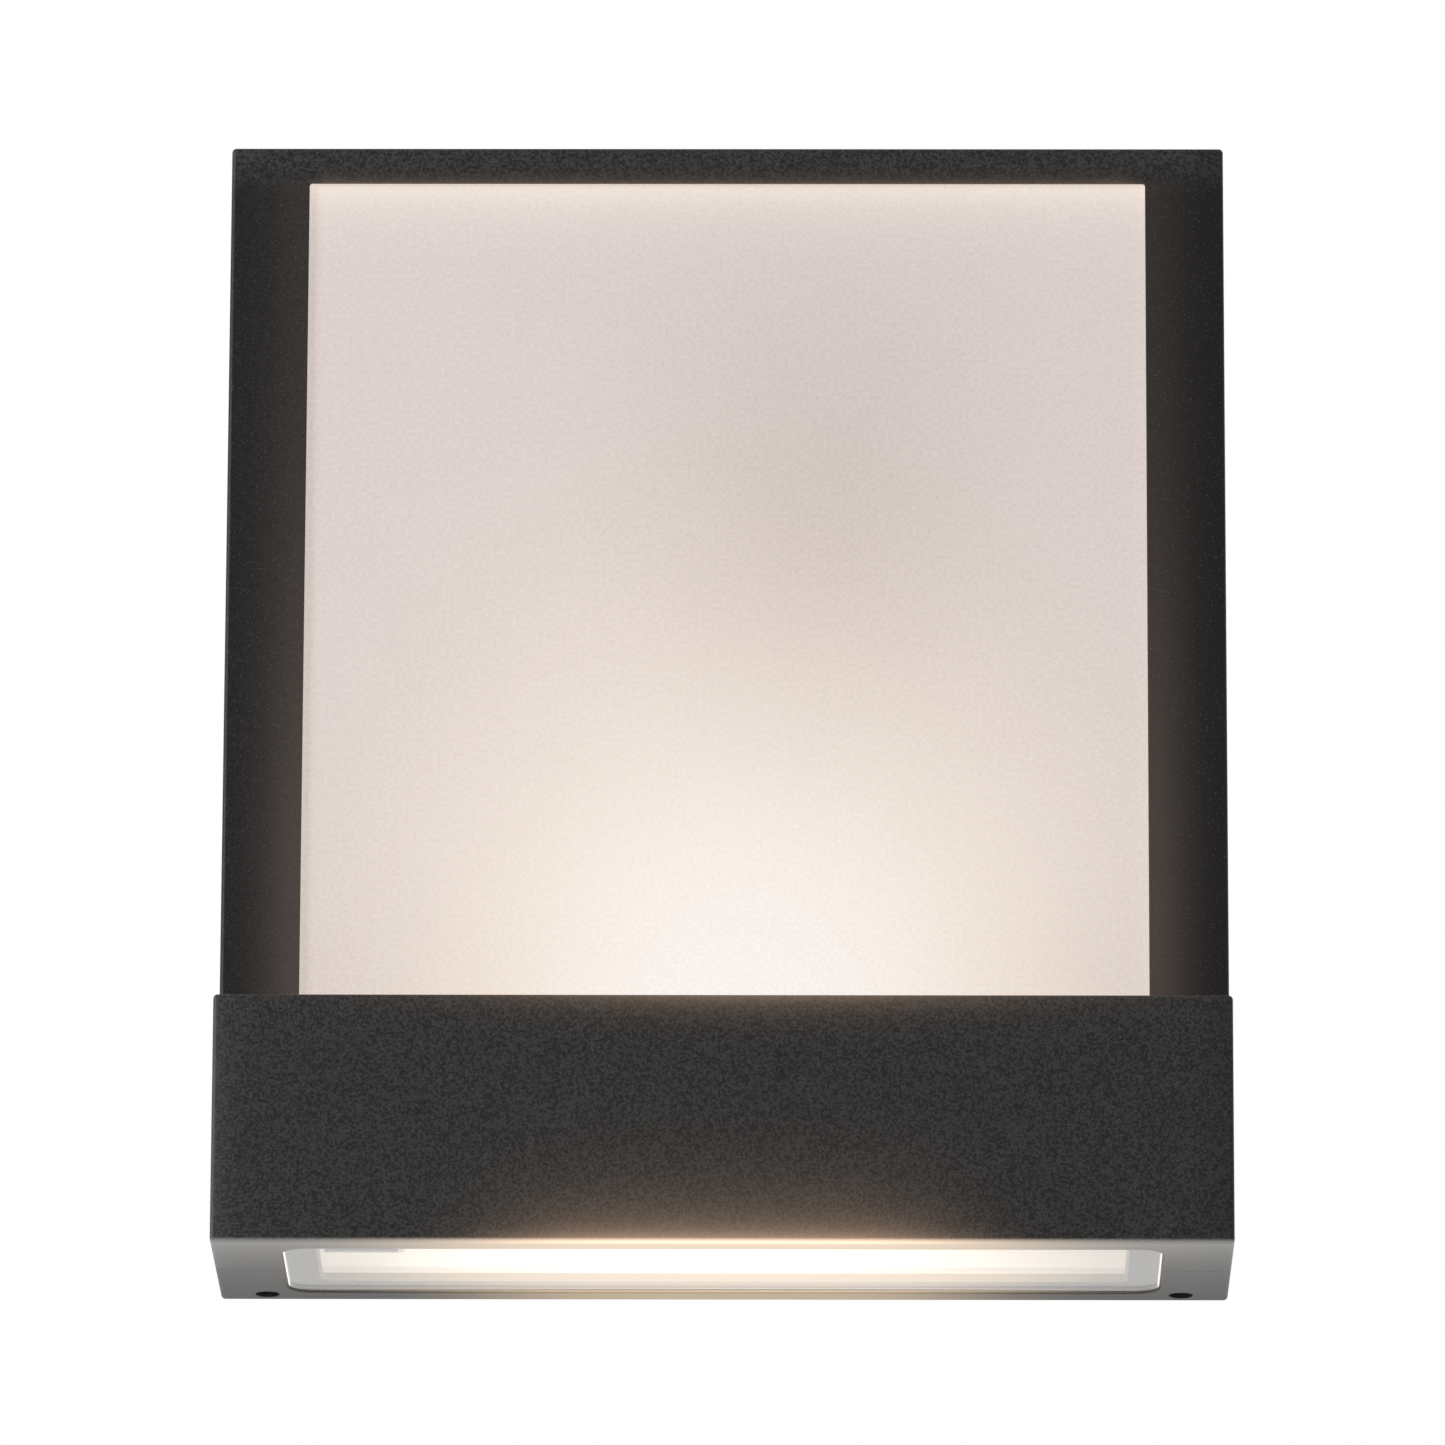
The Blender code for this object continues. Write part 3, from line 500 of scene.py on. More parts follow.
castingLow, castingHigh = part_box("front_housing")
panelLow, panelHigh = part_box("diffuser_panel")
glassLow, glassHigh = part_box("lower_glass")

casting = {
    "wall": 2.5 * mm, "edge": 1.0 * mm, "bandHeight": 58.0 * mm, "frameDepth": 29.0 * mm,
    "panelOverlap": 4.0 * mm, "lip": 1.0 * mm, "clearance": 0.5 * mm,
    "ledge": 1.8 * mm, "ledgeSide": 8.0 * mm, "ledgeFront": 5.0 * mm, "ledgeGap": 0.8 * mm,
    "openingCorner": 0.6 * mm, "recessGap": 0.3 * mm, "recessCorner": 6.3 * mm,
    "screwHole": 2.7 * mm, "clipX": 108 * mm,
    "bossRadius": 3.4 * mm, "bossBore": 1.6 * mm, "bossGap": 0.3 * mm, "boreDepth": 3.2 * mm,
    "castRound": 0.30 * mm,     # what a cut edge is rounded to
}
halfWidth = castingHigh.x
bottom = castingLow.z
top = castingHigh.z
bandTop = bottom + casting["bandHeight"]
frameFront = castingHigh.y - casting["frameDepth"]
openingX = panelHigh.x - casting["panelOverlap"]
openingTop = panelHigh.z - casting["panelOverlap"]
openingBottom = panelLow.z + casting["panelOverlap"]
windowX = glassHigh.x - casting["ledgeSide"]
windowFront = glassLow.y + casting["ledgeFront"]
windowRear = glassHigh.y - casting["ledgeFront"]

powderCoat = {
    "color": (0.0085, 0.0085, 0.0089), "dust": (0.0460, 0.0458, 0.0454), "fleck": (0.15, 0.15, 0.15),
    "grain": 0.62 * mm, "grainDepth": 0.060 * mm, "peel": 1.6 * mm, "peelDepth": 0.03 * mm,
    "speck": 0.80 * mm, "drift": 28 * mm, "roughness": 0.50,
    "leftPaintedShade": 0.16, "rightPaintedShade": 0.02, "topPaintedShade": 1.15,    # painted shade: the frame's brightness against the band's, at its left and right sides and along its top
    # painted shade: the coat darker towards its right end, over this reach
    "endPaintedShade": 0.70, "endShadeReach": 12 * mm,
    # the lamp's light on the coat: its colours, where its middle is, and its strength and reach in each place
    "glow": (1.0, 0.64, 0.42), "sideGlow": (1.0, 0.74, 0.62), "floorGlow": (1.0, 0.74, 0.47),
    "lampX": 1 * mm,
    "bandEdge": 0.175, "edgeX": 7 * mm, "edgeWidth": 56 * mm, "edgeReach": 2.6 * mm,
    "lip": 0.37, "lipReach": 1.6 * mm, "bandFront": 0.178, "frontReach": 7.5 * mm, "frontWidth": 50 * mm,
    "sideTop": 0.020, "sideBottom": 0.052, "sideReach": 9.0 * mm,
    "aboveOpening": 0.070, "aboveReach": 1.3 * mm,
    "underFront": 0.60, "underRear": 0.40, "underWidths": (74 * mm, 58 * mm),
    "wallGlow": 0.92, "wallWidth": 80 * mm,
    # the room's light on the underside, strongest at its front, and on the band's left end
    "roomGlow": (1.0, 0.985, 0.97),
    "floorLight": 0.215, "floorReach": 30 * mm, "rim": 0.026, "rimReach": 3 * mm,
}


def coatColorAndShade(coat, place, grain):
    # the coat's colour with its grain and flecks, plus painted shade on the frame's front face and at the
    # coat's right end
    look = powderCoat
    x, y, z = coat.axes(place)
    color = coat.mix(coat.between(grain, 0.38, 0.62), look["color"], look["dust"])
    # painted shade: the frame's front face is darker than the band at its sides, most of all at the right,
    # and a little lighter along its top
    onFrame = coat.between(y, frameFront - 2 * mm, frameFront - 0.5 * mm)
    onFrame = onFrame * coat.between(y, frameFront + 1.6 * mm, frameFront + 0.6 * mm)
    sides = coat.between(x, -halfWidth, halfWidth, look["leftPaintedShade"], look["rightPaintedShade"])
    shade = coat.between(z, openingTop - 4 * mm, openingTop + 6 * mm) * (look["topPaintedShade"] - sides) + sides
    # painted shade: darker over the last stretch of the right end
    paintedEndShade = coat.between(x, halfWidth - look["endShadeReach"], halfWidth, 1.0, look["endPaintedShade"])
    color = coat.tinted((onFrame * (shade - 1.0) + 1.0) * paintedEndShade, color)
    sparks = coat.cells(place, look["speck"])
    return coat.mix(coat.between(sparks, 0.24, 0.06) * 0.5, color, look["fleck"])


def lightInFront(coat, x, y, z):
    # what leaks over the band's upper edge, above the window and the opening, and beside the panel
    look = powderCoat
    depth = y - castingLow.y
    onBand = coat.between(y, frameFront, frameFront - 3 * mm)
    middle = (x - look["edgeX"]) / look["edgeWidth"]
    edge = coat.fading(middle * middle + abs(bandTop - z) / look["edgeReach"], 1.0) * look["bandEdge"]
    rise = z - bottom
    dome = coat.fading(rise, look["lipReach"]) * look["lip"]
    dome = dome + coat.fading(rise, look["frontReach"]) * look["bandFront"]
    dome = dome * coat.plateau((x - look["lampX"]) / look["frontWidth"])
    light = onBand * edge + coat.between(depth, 2.0 * mm, 0.9 * mm) * dome
    above = coat.fading(abs(z - openingTop), look["aboveReach"]) * look["aboveOpening"]
    light = light + above * coat.between(abs(x), openingX + 1 * mm, openingX - 6 * mm)

    level = coat.between(z, 95 * mm, -60 * mm, look["sideTop"], look["sideBottom"])
    level = level * coat.between(y, frameFront + 4 * mm, frameFront)
    level = level * coat.between(z, bandTop - 1 * mm, bandTop + 2 * mm)
    level = level * coat.between(z, openingTop + 3 * mm, openingTop - 2 * mm)
    beside = coat.bell((abs(x) - openingX) / look["sideReach"]) * level
    return light, beside


def lightBelow(coat, x, y, z):
    # what falls on the underside, clear of the screw holes, and on the walls round the glass
    look = powderCoat
    depth = y - castingLow.y
    screwAt = middleOf("retaining_screw_right")
    holeX = abs(x) - screwAt.x
    holeY = y - screwAt.y
    hole = (holeX * holeX + holeY * holeY) ** 0.5
    offHole = coat.between(hole, casting["screwHole"] + 0.05 * mm, casting["screwHole"] + 0.35 * mm)
    skin = coat.between(z, bottom + 1.2 * mm, bottom + 0.1 * mm) * offHole
    ledgeTop = glassHigh.z + casting["ledgeGap"] + casting["ledge"]
    wall = coat.between(z, ledgeTop + 0.8 * mm, ledgeTop + 0.2 * mm) * coat.between(depth, 2.8 * mm, 3.4 * mm)
    wall = wall * coat.between(z, bottom + 0.2 * mm, bottom + 0.7 * mm) * offHole
    away = x - look["lampX"]
    frontWidth, rearWidth = look["underWidths"]
    spread = coat.between(depth, 5 * mm, 50 * mm, 1 / frontWidth, 1 / rearWidth)
    strength = coat.between(depth, 5 * mm, 50 * mm, look["underFront"], look["underRear"])
    beneath = coat.plateau(away * spread) * skin * strength
    beneath = beneath + coat.plateau(away / look["wallWidth"]) * wall * look["wallGlow"]
    onBand = coat.between(y, frameFront, frameFront - 3 * mm)
    rim = coat.fading(x + halfWidth, look["rimReach"]) * onBand * look["rim"]
    return beneath, coat.fading(depth, look["floorReach"]) * skin * look["floorLight"] + rim


def makePowderCoat():
    look = powderCoat
    coat = newFinish("charcoalPowderCoat")
    place = coat.place()
    grain = coat.noise(place, look["grain"], 2.0, 0.6)
    peel = coat.noise(place, look["peel"], 2.0)
    drift = coat.noise(place, look["drift"], 3.0)
    rough = coat.between(grain, 0.3, 0.7, look["roughness"] - 0.05, look["roughness"] + 0.06) + 0.04 * drift
    inFront, beside = lightInFront(coat, *coat.axes(place))
    beneath, fromRoom = lightBelow(coat, *coat.axes(place))
    glow = coat.tinted(inFront, look["glow"])
    glow = coat.tinted(beside, look["sideGlow"], glow)
    glow = coat.tinted(beneath, look["floorGlow"], glow)
    glow = coat.tinted(fromRoom, look["roomGlow"], glow)
    relief = coat.bump(grain, look["grainDepth"], 0.8, under=coat.bump(peel, look["peelDepth"], 0.5))
    return coat.finished(
        Base_Color=coatColorAndShade(coat, place, grain), Roughness=rough, Specular_IOR_Level=0.5,
        Emission_Color=glow, Emission_Strength=1.0, Normal=relief)


def stepped(name, halfSpan, rear, fronts, heights, edge):
    # a box whose lower part stands further forward, rounded everywhere but round its rear
    low, middle, high = heights
    lowerFront, upperFront = fronts
    corner = [(lowerFront, middle), (upperFront, middle), (upperFront, high)]
    corner = rounded(corner, 0.8 * mm, 4, closed=False)
    side = [Vector((rear, low)), Vector((lowerFront, low)), *corner, Vector((rear, high))]
    bm = lofted([[(x, y, z) for y, z in side] for x in (-halfSpan, halfSpan)])
    bmesh.ops.recalc_face_normals(bm, faces=bm.faces)
    rounding = []
    for line in bm.edges:
        onRear = all(abs(vert.co.y - rear) < 1e-6 for vert in line.verts)
        runsAcross = abs(line.verts[0].co.x - line.verts[1].co.x) > halfSpan
        acrossFillet = runsAcross and line.calc_face_angle_signed() < 0.6
        if not onRear and not acrossFillet:
            rounding.append(line)
    bmesh.ops.bevel(bm, geom=rounding, offset=edge, segments=5, profile=0.5, affect="EDGES")
    return asPiece(name, bm)


def addBoss(piece, side, clip):
    # a post that a panel clip is screwed to, with a flared foot and a bored end
    clipLow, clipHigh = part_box(f"panel_clip_{clip}")
    half = casting["wall"] / 2
    start = frameFront + half
    end = clipLow.y - casting["bossGap"] - start
    radius, bore = casting["bossRadius"], casting["bossBore"]
    centre = (side * casting["clipX"], start, (clipLow.z + clipHigh.z) / 2)
    join(piece, turned("toolBoss", [
        (radius + 0.9 * mm, half - 0.2 * mm), (radius + 0.9 * mm, half),
        (radius + 0.25 * mm, half + 0.2 * mm), (radius, half + 0.9 * mm),
        (radius, end - 0.3 * mm), (radius - 0.3 * mm, end)], centre, "+Y", 40))
    cut(piece, turned("toolBore", [
        (bore, end - casting["boreDepth"]), (bore, end - 0.3 * mm), (bore + 0.5 * mm, end + 0.2 * mm)],
        centre, "+Y", 32))


def makeCasting():
    shape = casting
    wall, edge, corner, gap = shape["wall"], shape["edge"], shape["openingCorner"], shape["recessGap"]
    rear, bandFront = castingHigh.y, castingLow.y
    ledgeFace = glassHigh.z + shape["ledgeGap"]
    floor = ledgeFace + shape["ledge"]
    reach = 5 * mm      # how far a tool stands out past what it cuts
    piece = stepped("frontCasting", halfWidth, rear, (bandFront, frameFront), (bottom, bandTop, top), edge)
    hollow = stepped(
        "toolHollow", halfWidth - wall, rear + reach, (bandFront + wall, frameFront + wall),
        (floor, bandTop - wall, top - wall), edge)
    opening = block(
        "toolOpening", (-openingX, frameFront - reach, openingBottom),
        (openingX, frameFront + 2 * wall, openingTop), corner=corner)
    spare = shape["panelOverlap"] + shape["clearance"]
    rebate = block(
        "toolRebate", (-openingX - spare, frameFront + shape["lip"], openingBottom - spare),
        (openingX + spare, frameFront + 2 * wall, openingTop + spare), corner=corner)
    recess = block(
        "toolRecess", (glassLow.x - gap, glassLow.y - gap, bottom - reach),
        (glassHigh.x + gap, glassHigh.y + gap, ledgeFace), axis="Z",
        corner=shape["recessCorner"], cornerSteps=14)
    window = block(
        "toolWindow", (-windowX, windowFront, bottom - reach), (windowX, windowRear, floor + reach), axis="Z")
    cut(piece, hollow, opening, rebate, recess, window)
    screwAt = middleOf("retaining_screw_right")
    for side, clips in ((-1, (1, 2)), (1, (3, 4))):
        for clip in clips:
            addBoss(piece, side, clip)
        centre = (side * screwAt.x, screwAt.y, bottom)
        cut(piece, rod("toolScrewHole", centre, "Z", shape["screwHole"], 30 * mm))
    softened(piece, shape["castRound"])
    install(piece, "housing", makePowderCoat(), "charcoal_coat", "front_housing")


makeCasting()
print("casting made")


metals = {      # base colour, darker patches, roughness
    "zinc": ((0.62, 0.63, 0.62), (0.47, 0.49, 0.50), 0.34),
    "blackened": ((0.030, 0.030, 0.032), (0.014, 0.014, 0.015), 0.45),
    "nickel": ((0.72, 0.70, 0.66), (0.60, 0.58, 0.54), 0.20),
    "brass": ((0.78, 0.60, 0.30), (0.62, 0.44, 0.19), 0.26),
}


def makeMetal(name):
    color, shade, roughness = metals[name]
    metal = newFinish(name + "Metal")
    place = metal.place()
    cloud = metal.noise(place, 3.5 * mm, 4.0, 0.6)
    turning = metal.noise(metal.place((1.0, 1.0, 14.0)), 1.8 * mm, 3.0)     # marks that run round the axis
    scuff = metal.noise(place, 0.25 * mm, 2.0)
    tone = metal.mix(metal.between(cloud, 0.35, 0.70), color, shade)
    rough = roughness - 0.06 + 0.14 * cloud + 0.06 * scuff
    relief = metal.bump(turning, 0.012 * mm, 0.35, under=metal.bump(scuff, 0.006 * mm, 0.4))
    return metal.finished(Base_Color=tone, Metallic=1.0, Roughness=rough, Normal=relief)


plastics = {    # base colour, second tone, roughness, grain, grain depth
    "ivory": ((0.74, 0.70, 0.60), (0.70, 0.655, 0.55), 0.38, 0.5 * mm, 0.010 * mm),
    "blackGlassy": ((0.018, 0.018, 0.019), (0.030, 0.030, 0.030), 0.16, 1.5 * mm, 0.020 * mm),
    "glazedCeramic": ((0.83, 0.82, 0.79), (0.79, 0.775, 0.74), 0.13, 2.2 * mm, 0.030 * mm),
    "brownSleeve": ((0.150, 0.062, 0.026), (0.125, 0.050, 0.020), 0.42, 0.6 * mm, 0.006 * mm),
    "blueSleeve": ((0.020, 0.105, 0.400), (0.016, 0.085, 0.330), 0.42, 0.6 * mm, 0.006 * mm),
    "greenSleeve": ((0.055, 0.300, 0.060), (0.045, 0.250, 0.050), 0.42, 0.6 * mm, 0.006 * mm),
    "yellowSleeve": ((0.720, 0.590, 0.040), (0.660, 0.530, 0.035), 0.42, 0.6 * mm, 0.006 * mm),
}


def makePlastic(name):
    color, second, roughness, grain, depth = plastics[name]
    plastic = newFinish(name)
    place = plastic.place()
    texture = plastic.noise(place, grain, 3.0, 0.55)
    cloud = plastic.noise(place, 9 * mm, 3.0)
    tone = plastic.mix(plastic.between(cloud, 0.35, 0.7), color, second)
    rough = roughness - 0.03 + 0.07 * texture
    return plastic.finished(
        Base_Color=tone, Roughness=rough, Specular_IOR_Level=0.5, Normal=plastic.bump(texture, depth, 0.7))


rubber = {
    "color": (0.013, 0.013, 0.013), "bloom": (0.030, 0.030, 0.031), "grain": 0.30 * mm, "roughness": 0.66,
    "glow": (0.66, 0.51, 0.38), "glowWidth": 67 * mm,   # the lamp's light on the window seal
}
foam = {
    "color": (0.014, 0.014, 0.015), "worn": (0.060, 0.060, 0.062), "dust": (0.085, 0.085, 0.088),
    "pore": 0.75 * mm, "smallPore": 0.33 * mm, "poreDepth": 0.16 * mm,
}


def makeRubber(name, lit=False):
    look = rubber
    seal = newFinish(name)
    place = seal.place()
    grain = seal.noise(place, look["grain"], 3.0, 0.6)
    bloom = seal.noise(place, 6 * mm, 3.0)
    tone = seal.mix(seal.between(bloom, 0.4, 0.8), look["color"], look["bloom"])
    light = {}
    if lit:
        middle = seal.plateau(seal.axes(place)[0] / look["glowWidth"])
        light = {"Emission_Color": seal.tinted(middle, look["glow"]), "Emission_Strength": 1.0}
    rough = look["roughness"] + 0.16 * grain
    return seal.finished(Base_Color=tone, Roughness=rough, Normal=seal.bump(grain, 0.02 * mm, 0.7), **light)


def makeFoam():
    look = foam
    cellular = newFinish("closedCellFoam")
    place = cellular.place()
    pores = cellular.cells(place, look["pore"])
    small = cellular.cells(place, look["smallPore"])
    cloud = cellular.noise(place, 14 * mm, 3.0)
    height = cellular.between(pores, 0.0, 0.45) * 0.7 + cellular.between(small, 0.0, 0.4) * 0.3
    tone = cellular.mix(height, look["color"], look["worn"])
    tone = cellular.mix(cellular.between(cloud, 0.35, 0.75) * 0.5, tone, look["dust"])
    relief = cellular.bump(height, look["poreDepth"], 0.8)
    return cellular.finished(Base_Color=tone, Roughness=0.86 + 0.08 * cloud, Normal=relief)


finishes = {name: makeMetal(name) for name in metals}
finishes.update({name: makePlastic(name) for name in plastics})
finishes["rubber"] = makeRubber("blackRubber")
finishes["litRubber"] = makeRubber("litRubber", lit=True)
finishes["foam"] = makeFoam()
print("small finishes made")


opalPanel = {
    "edge": 0.4 * mm, "corner": 0.9 * mm, "base": (0.42, 0.40, 0.385),
    # light through the panel: an even part, and two soft lobes round the lamp behind its lower edge
    "even": (0.426, 0.366, 0.350),
    "wide": (0.728, 0.575, 0.338), "wideSize": (68.2 * mm, 100.6 * mm),
    "near": (-0.432, -0.220, 0.038), "nearSize": (48.8 * mm, 75.5 * mm),
    "lampX": 5.2 * mm,
    "rimGlow": (1.0, 0.88, 0.64), "topRim": 0.22, "sideRim": 0.10,
    "blockShade": 0.102, "mottleAndShadeTint": (1.0, 0.95, 0.9),     # painted shade where the terminal block and cable stand behind the panel, a grey cloud right of the middle; the tint colours the mottle too
    "blockShadeSpot": (21.2 * mm, 40.3 * mm), "blockShadeSize": (42.8 * mm, 63.8 * mm),
    "mottle": 0.190, "cloud": 0.020, "brightest": (0.83, 0.81, 0.79),
}
seals = {
    "panelEdge": 0.12 * mm, "windowEdge": 0.15 * mm, "holeSpare": 0.6 * mm, "holeCorner": 0.8 * mm,
}
windowGlass = {
    "edge": 0.30 * mm, "corner": 6 * mm, "colors": ((0.975, 0.985, 0.98), (0.99, 0.995, 0.99)),
    "ends": 0.50, "endHighlightTint": (1.0, 0.98, 0.94),     # painted highlight: the polished ends glow as if they caught the light
}


def makeOpal():
    look = opalPanel
    opal = newFinish("litOpal")
    place = opal.place()
    x, _, z = opal.axes(place)

    def lobe(spot, size):
        return opal.bell((x - spot[0]) / size[0], (z - spot[1]) / size[1])

    lampSpot = (look["lampX"], middleOf("lamp_globe").z)
    light = opal.tinted(lobe(lampSpot, look["wideSize"]), look["wide"], look["even"])
    light = opal.tinted(lobe(lampSpot, look["nearSize"]), look["near"], light)
    rim = opal.fading(openingTop - z, 6 * mm) * look["topRim"]
    rim = rim + opal.fading(openingX - abs(x), 1.5 * mm) * look["sideRim"]
    light = opal.tinted(rim, look["rimGlow"], light)
    # painted shade where the terminal block and cable stand behind the panel
    shade = lobe(look["blockShadeSpot"], look["blockShadeSize"]) * look["blockShade"]
    mottle = opal.noise(place, 22 * mm, 3.0) * look["cloud"]
    mottle = mottle + opal.noise(place, 0.9 * mm, 2.0) * look["mottle"]
    mottle = mottle - (look["cloud"] + look["mottle"]) / 2      # so that it averages nothing
    light = opal.tinted(mottle - shade, look["mottleAndShadeTint"], light)
    light = opal.node("ShaderNodeVectorMath", {"operation": "MINIMUM"}, {0: light, 1: look["brightest"]})
    grain = opal.noise(place, 0.5 * mm, 3.0)
    paler = [part * 1.03 for part in look["base"]]
    tone = opal.mix(opal.noise(place, 30 * mm, 2.0), look["base"], paler)
    return opal.finished(
        Base_Color=tone, Roughness=0.30 + 0.08 * grain, Specular_IOR_Level=0.4, Emission_Color=light,
        Emission_Strength=1.0, Normal=opal.bump(grain, 0.006 * mm, 0.5))


def makeGlass():
    look = windowGlass
    glass = newFinish("clearGlass")
    place = glass.place()
    smear = glass.noise(place, 26 * mm, 4.0, 0.6)
    wave = glass.noise(place, 40 * mm, 1.0)
    # painted highlight along the glass's two polished ends
    ends = glass.between(abs(glass.axes(place)[0]), glassHigh.x - 0.6 * mm, glassHigh.x - 0.2 * mm)
    return glass.finished(
        Emission_Color=glass.tinted(ends * look["ends"], look["endHighlightTint"]), Emission_Strength=1.0,
        Base_Color=glass.mix(smear, *look["colors"]), Roughness=glass.between(smear, 0.55, 0.85, 0.0, 0.05),
        Transmission_Weight=1.0, IOR=1.50, Normal=glass.bump(wave, 0.02 * mm, 0.3))


def makePanel():
    panel = block("opalPanel", panelLow, panelHigh, opalPanel["edge"], corner=opalPanel["corner"])
    install(panel, "housing", makeOpal(), "opal_panel", "diffuser_panel")
    low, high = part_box("panel_seal")
    seal = block("panelSeal", low, high, seals["panelEdge"], corner=opalPanel["corner"])
    inside = casting["panelOverlap"] - seals["holeSpare"]
    cut(seal, block(
        "toolSeal", (low.x + inside, low.y - mm, low.z + inside),
        (high.x - inside, high.y + mm, high.z - inside), corner=seals["holeCorner"]))
    softened(seal, 0.10 * mm)
    install(seal, "housing", finishes["rubber"], "black_rubber", "panel_seal")


def makeWindow():
    corner, spare = windowGlass["corner"], seals["holeSpare"]
    window = block(
        "windowGlass", glassLow, glassHigh, windowGlass["edge"], axis="Z",
        corner=corner, cornerSteps=16, steps=2)
    install(window, "housing", makeGlass(), "clear_glass", "lower_glass")
    low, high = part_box("lower_glass_seal")
    seal = block("windowSeal", low, high, seals["windowEdge"], axis="Z", corner=corner, cornerSteps=14)
    cut(seal, block(
        "toolSeal", (-windowX - spare, windowFront - spare, low.z - mm),
        (windowX + spare, windowRear + spare, high.z + mm), corner=seals["holeCorner"], axis="Z"))
    softened(seal, 0.12 * mm)
    install(seal, "housing", finishes["litRubber"], "black_rubber", "lower_glass_seal")


makePanel()
makeWindow()
print("panel and window made")


def thread(radius, start, end, depth, step):
    # a threaded stretch of a profile, from one height down to another
    count = max(4, round(abs(start - end) / step))
    run = 3 * step
    made = []
    for index in range(count + 1):
        height = start + (end - start) * index / count
        fade = min(1.0, abs(height - start) / run, abs(height - end) / run)
        made.append((radius, height, depth * fade))
    return made


def cross(depth, span, width):
    # a tapered cross-shaped tool that stands on the origin
    tools = []
    for turn in (0, 1):
        half = (span / 2, width / 2) if turn == 0 else (width / 2, span / 2)
        small = (half[0] * 0.62, half[1] * 0.7)
        rings = []
        for (a, b), height in ((small, -depth), (half, 0.0), (half, depth)):
            rings.append([(-a, -b, height), (a, -b, height), (a, b, height), (-a, b, height)])
        tools.append(asPiece("toolCross", lofted(rings)))
    join(tools[0], tools[1])
    return tools[0]


def panScrew(name, origin, axis, headRadius, headHeight, shankRadius, length, slotted):
    # the head bears on the origin and stands up along the axis
    head = rounded([
        (0, headHeight), (headRadius * 0.62, headHeight), (headRadius * 0.93, headHeight * 0.60),
        (headRadius, headHeight * 0.22), (headRadius, 0), (shankRadius, 0),
    ], 0.28 * mm, 5, closed=False)
    pitch = 0.40 * shankRadius
    shank = thread(shankRadius, -0.15 * mm, -length + 0.35 * mm, 0.16 * shankRadius, pitch / 5)
    profile = [*head, *shank, (shankRadius * 0.72, -length), (0, -length)]
    screw = turned(name, profile, (0, 0, 0), "+Z", 40, pitch=pitch, sharpThread=True)
    if slotted:
        tool = block(
            "toolSlot", (-headRadius * 1.3, -0.30 * mm, headHeight * 0.42),
            (headRadius * 1.3, 0.30 * mm, headHeight * 2), 0.05 * mm)
    else:
        tool = cross(headHeight * 0.72, headRadius * 1.12, headRadius * 0.26)
        tool.location.z = headHeight
        bpy.context.view_layer.update()
    cut(screw, tool)
    screw.matrix_world = Matrix.Translation(origin) @ turns[axis]
    bpy.context.view_layer.update()
    return screw


def headSpot(node, axis, headHeight):
    # where the underside of a screw's head lies, from the box of its CAD node
    low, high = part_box(node)
    middle = (low + high) / 2
    index = "XYZ".index(axis[1])
    middle[index] = high[index] - headHeight if axis[0] == "+" else low[index] + headHeight
    return middle


# head radius, head height, shank radius and length in millimetres, then the head's axis, slotted, finish
screws = {
    "clip_screw": (2.7, 1.8, 1.3, 4.0, "+Y", False, "zinc"),
    "bracket_screw": (3.4, 2.2, 1.7, 3.2, "-Y", False, "zinc"),
    "lampholder_screw": (3.0, 2.0, 1.5, 8.0, "-X", False, "zinc"),
    "terminal_fixing_screw": (2.3, 1.6, 1.2, 7.4, "-Y", False, "zinc"),
    "earth_screw": (3.6, 2.4, 1.6, 2.7, "-Y", True, "brass"),
}
springClip = {"edge": 0.12 * mm, "corner": 1.5 * mm, "hole": 1.7 * mm, "cutEdge": 0.10 * mm}
socketScrew = {
    "radius": 2.4 * mm, "pitch": 0.8 * mm, "threadDepth": 0.30 * mm,
    "socket": 1.44 * mm, "socketDepth": 2.4 * mm,
}


def makeScrews():
    slots = {"zinc": "zinc_steel", "brass": "brass"}
    for kind, (*sizes, axis, slotted, finish) in screws.items():
        body = "housing" if kind == "clip_screw" else "wall_unit"
        sizes = [size * mm for size in sizes]
        first = None
        for node in sorted(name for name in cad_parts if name.startswith(kind)):
            spot = headSpot(node, axis, sizes[1])
            if first is None:
                piece = first = panScrew("fine_" + node, spot, axis, *sizes, slotted)
            else:
                piece = copied(first, "fine_" + node, spot)
                piece.modifiers.clear()
                piece.parent = None
            install(piece, body, finishes[finish], slots[finish], node)


def makeClips():
    for number, side in ((1, -1), (2, -1), (3, 1), (4, 1)):
        node = f"panel_clip_{number}"
        low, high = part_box(node)
        clip = block(
            f"springClip{number}", low, high, springClip["edge"], corner=springClip["corner"], cornerSteps=8)
        centre = (side * casting["clipX"], low.y, (low.z + high.z) / 2)
        cut(clip, rod("toolHole", centre, "Y", springClip["hole"], 10 * mm))
        softened(clip, springClip["cutEdge"])
        install(clip, "housing", finishes["zinc"], "zinc_steel", node)


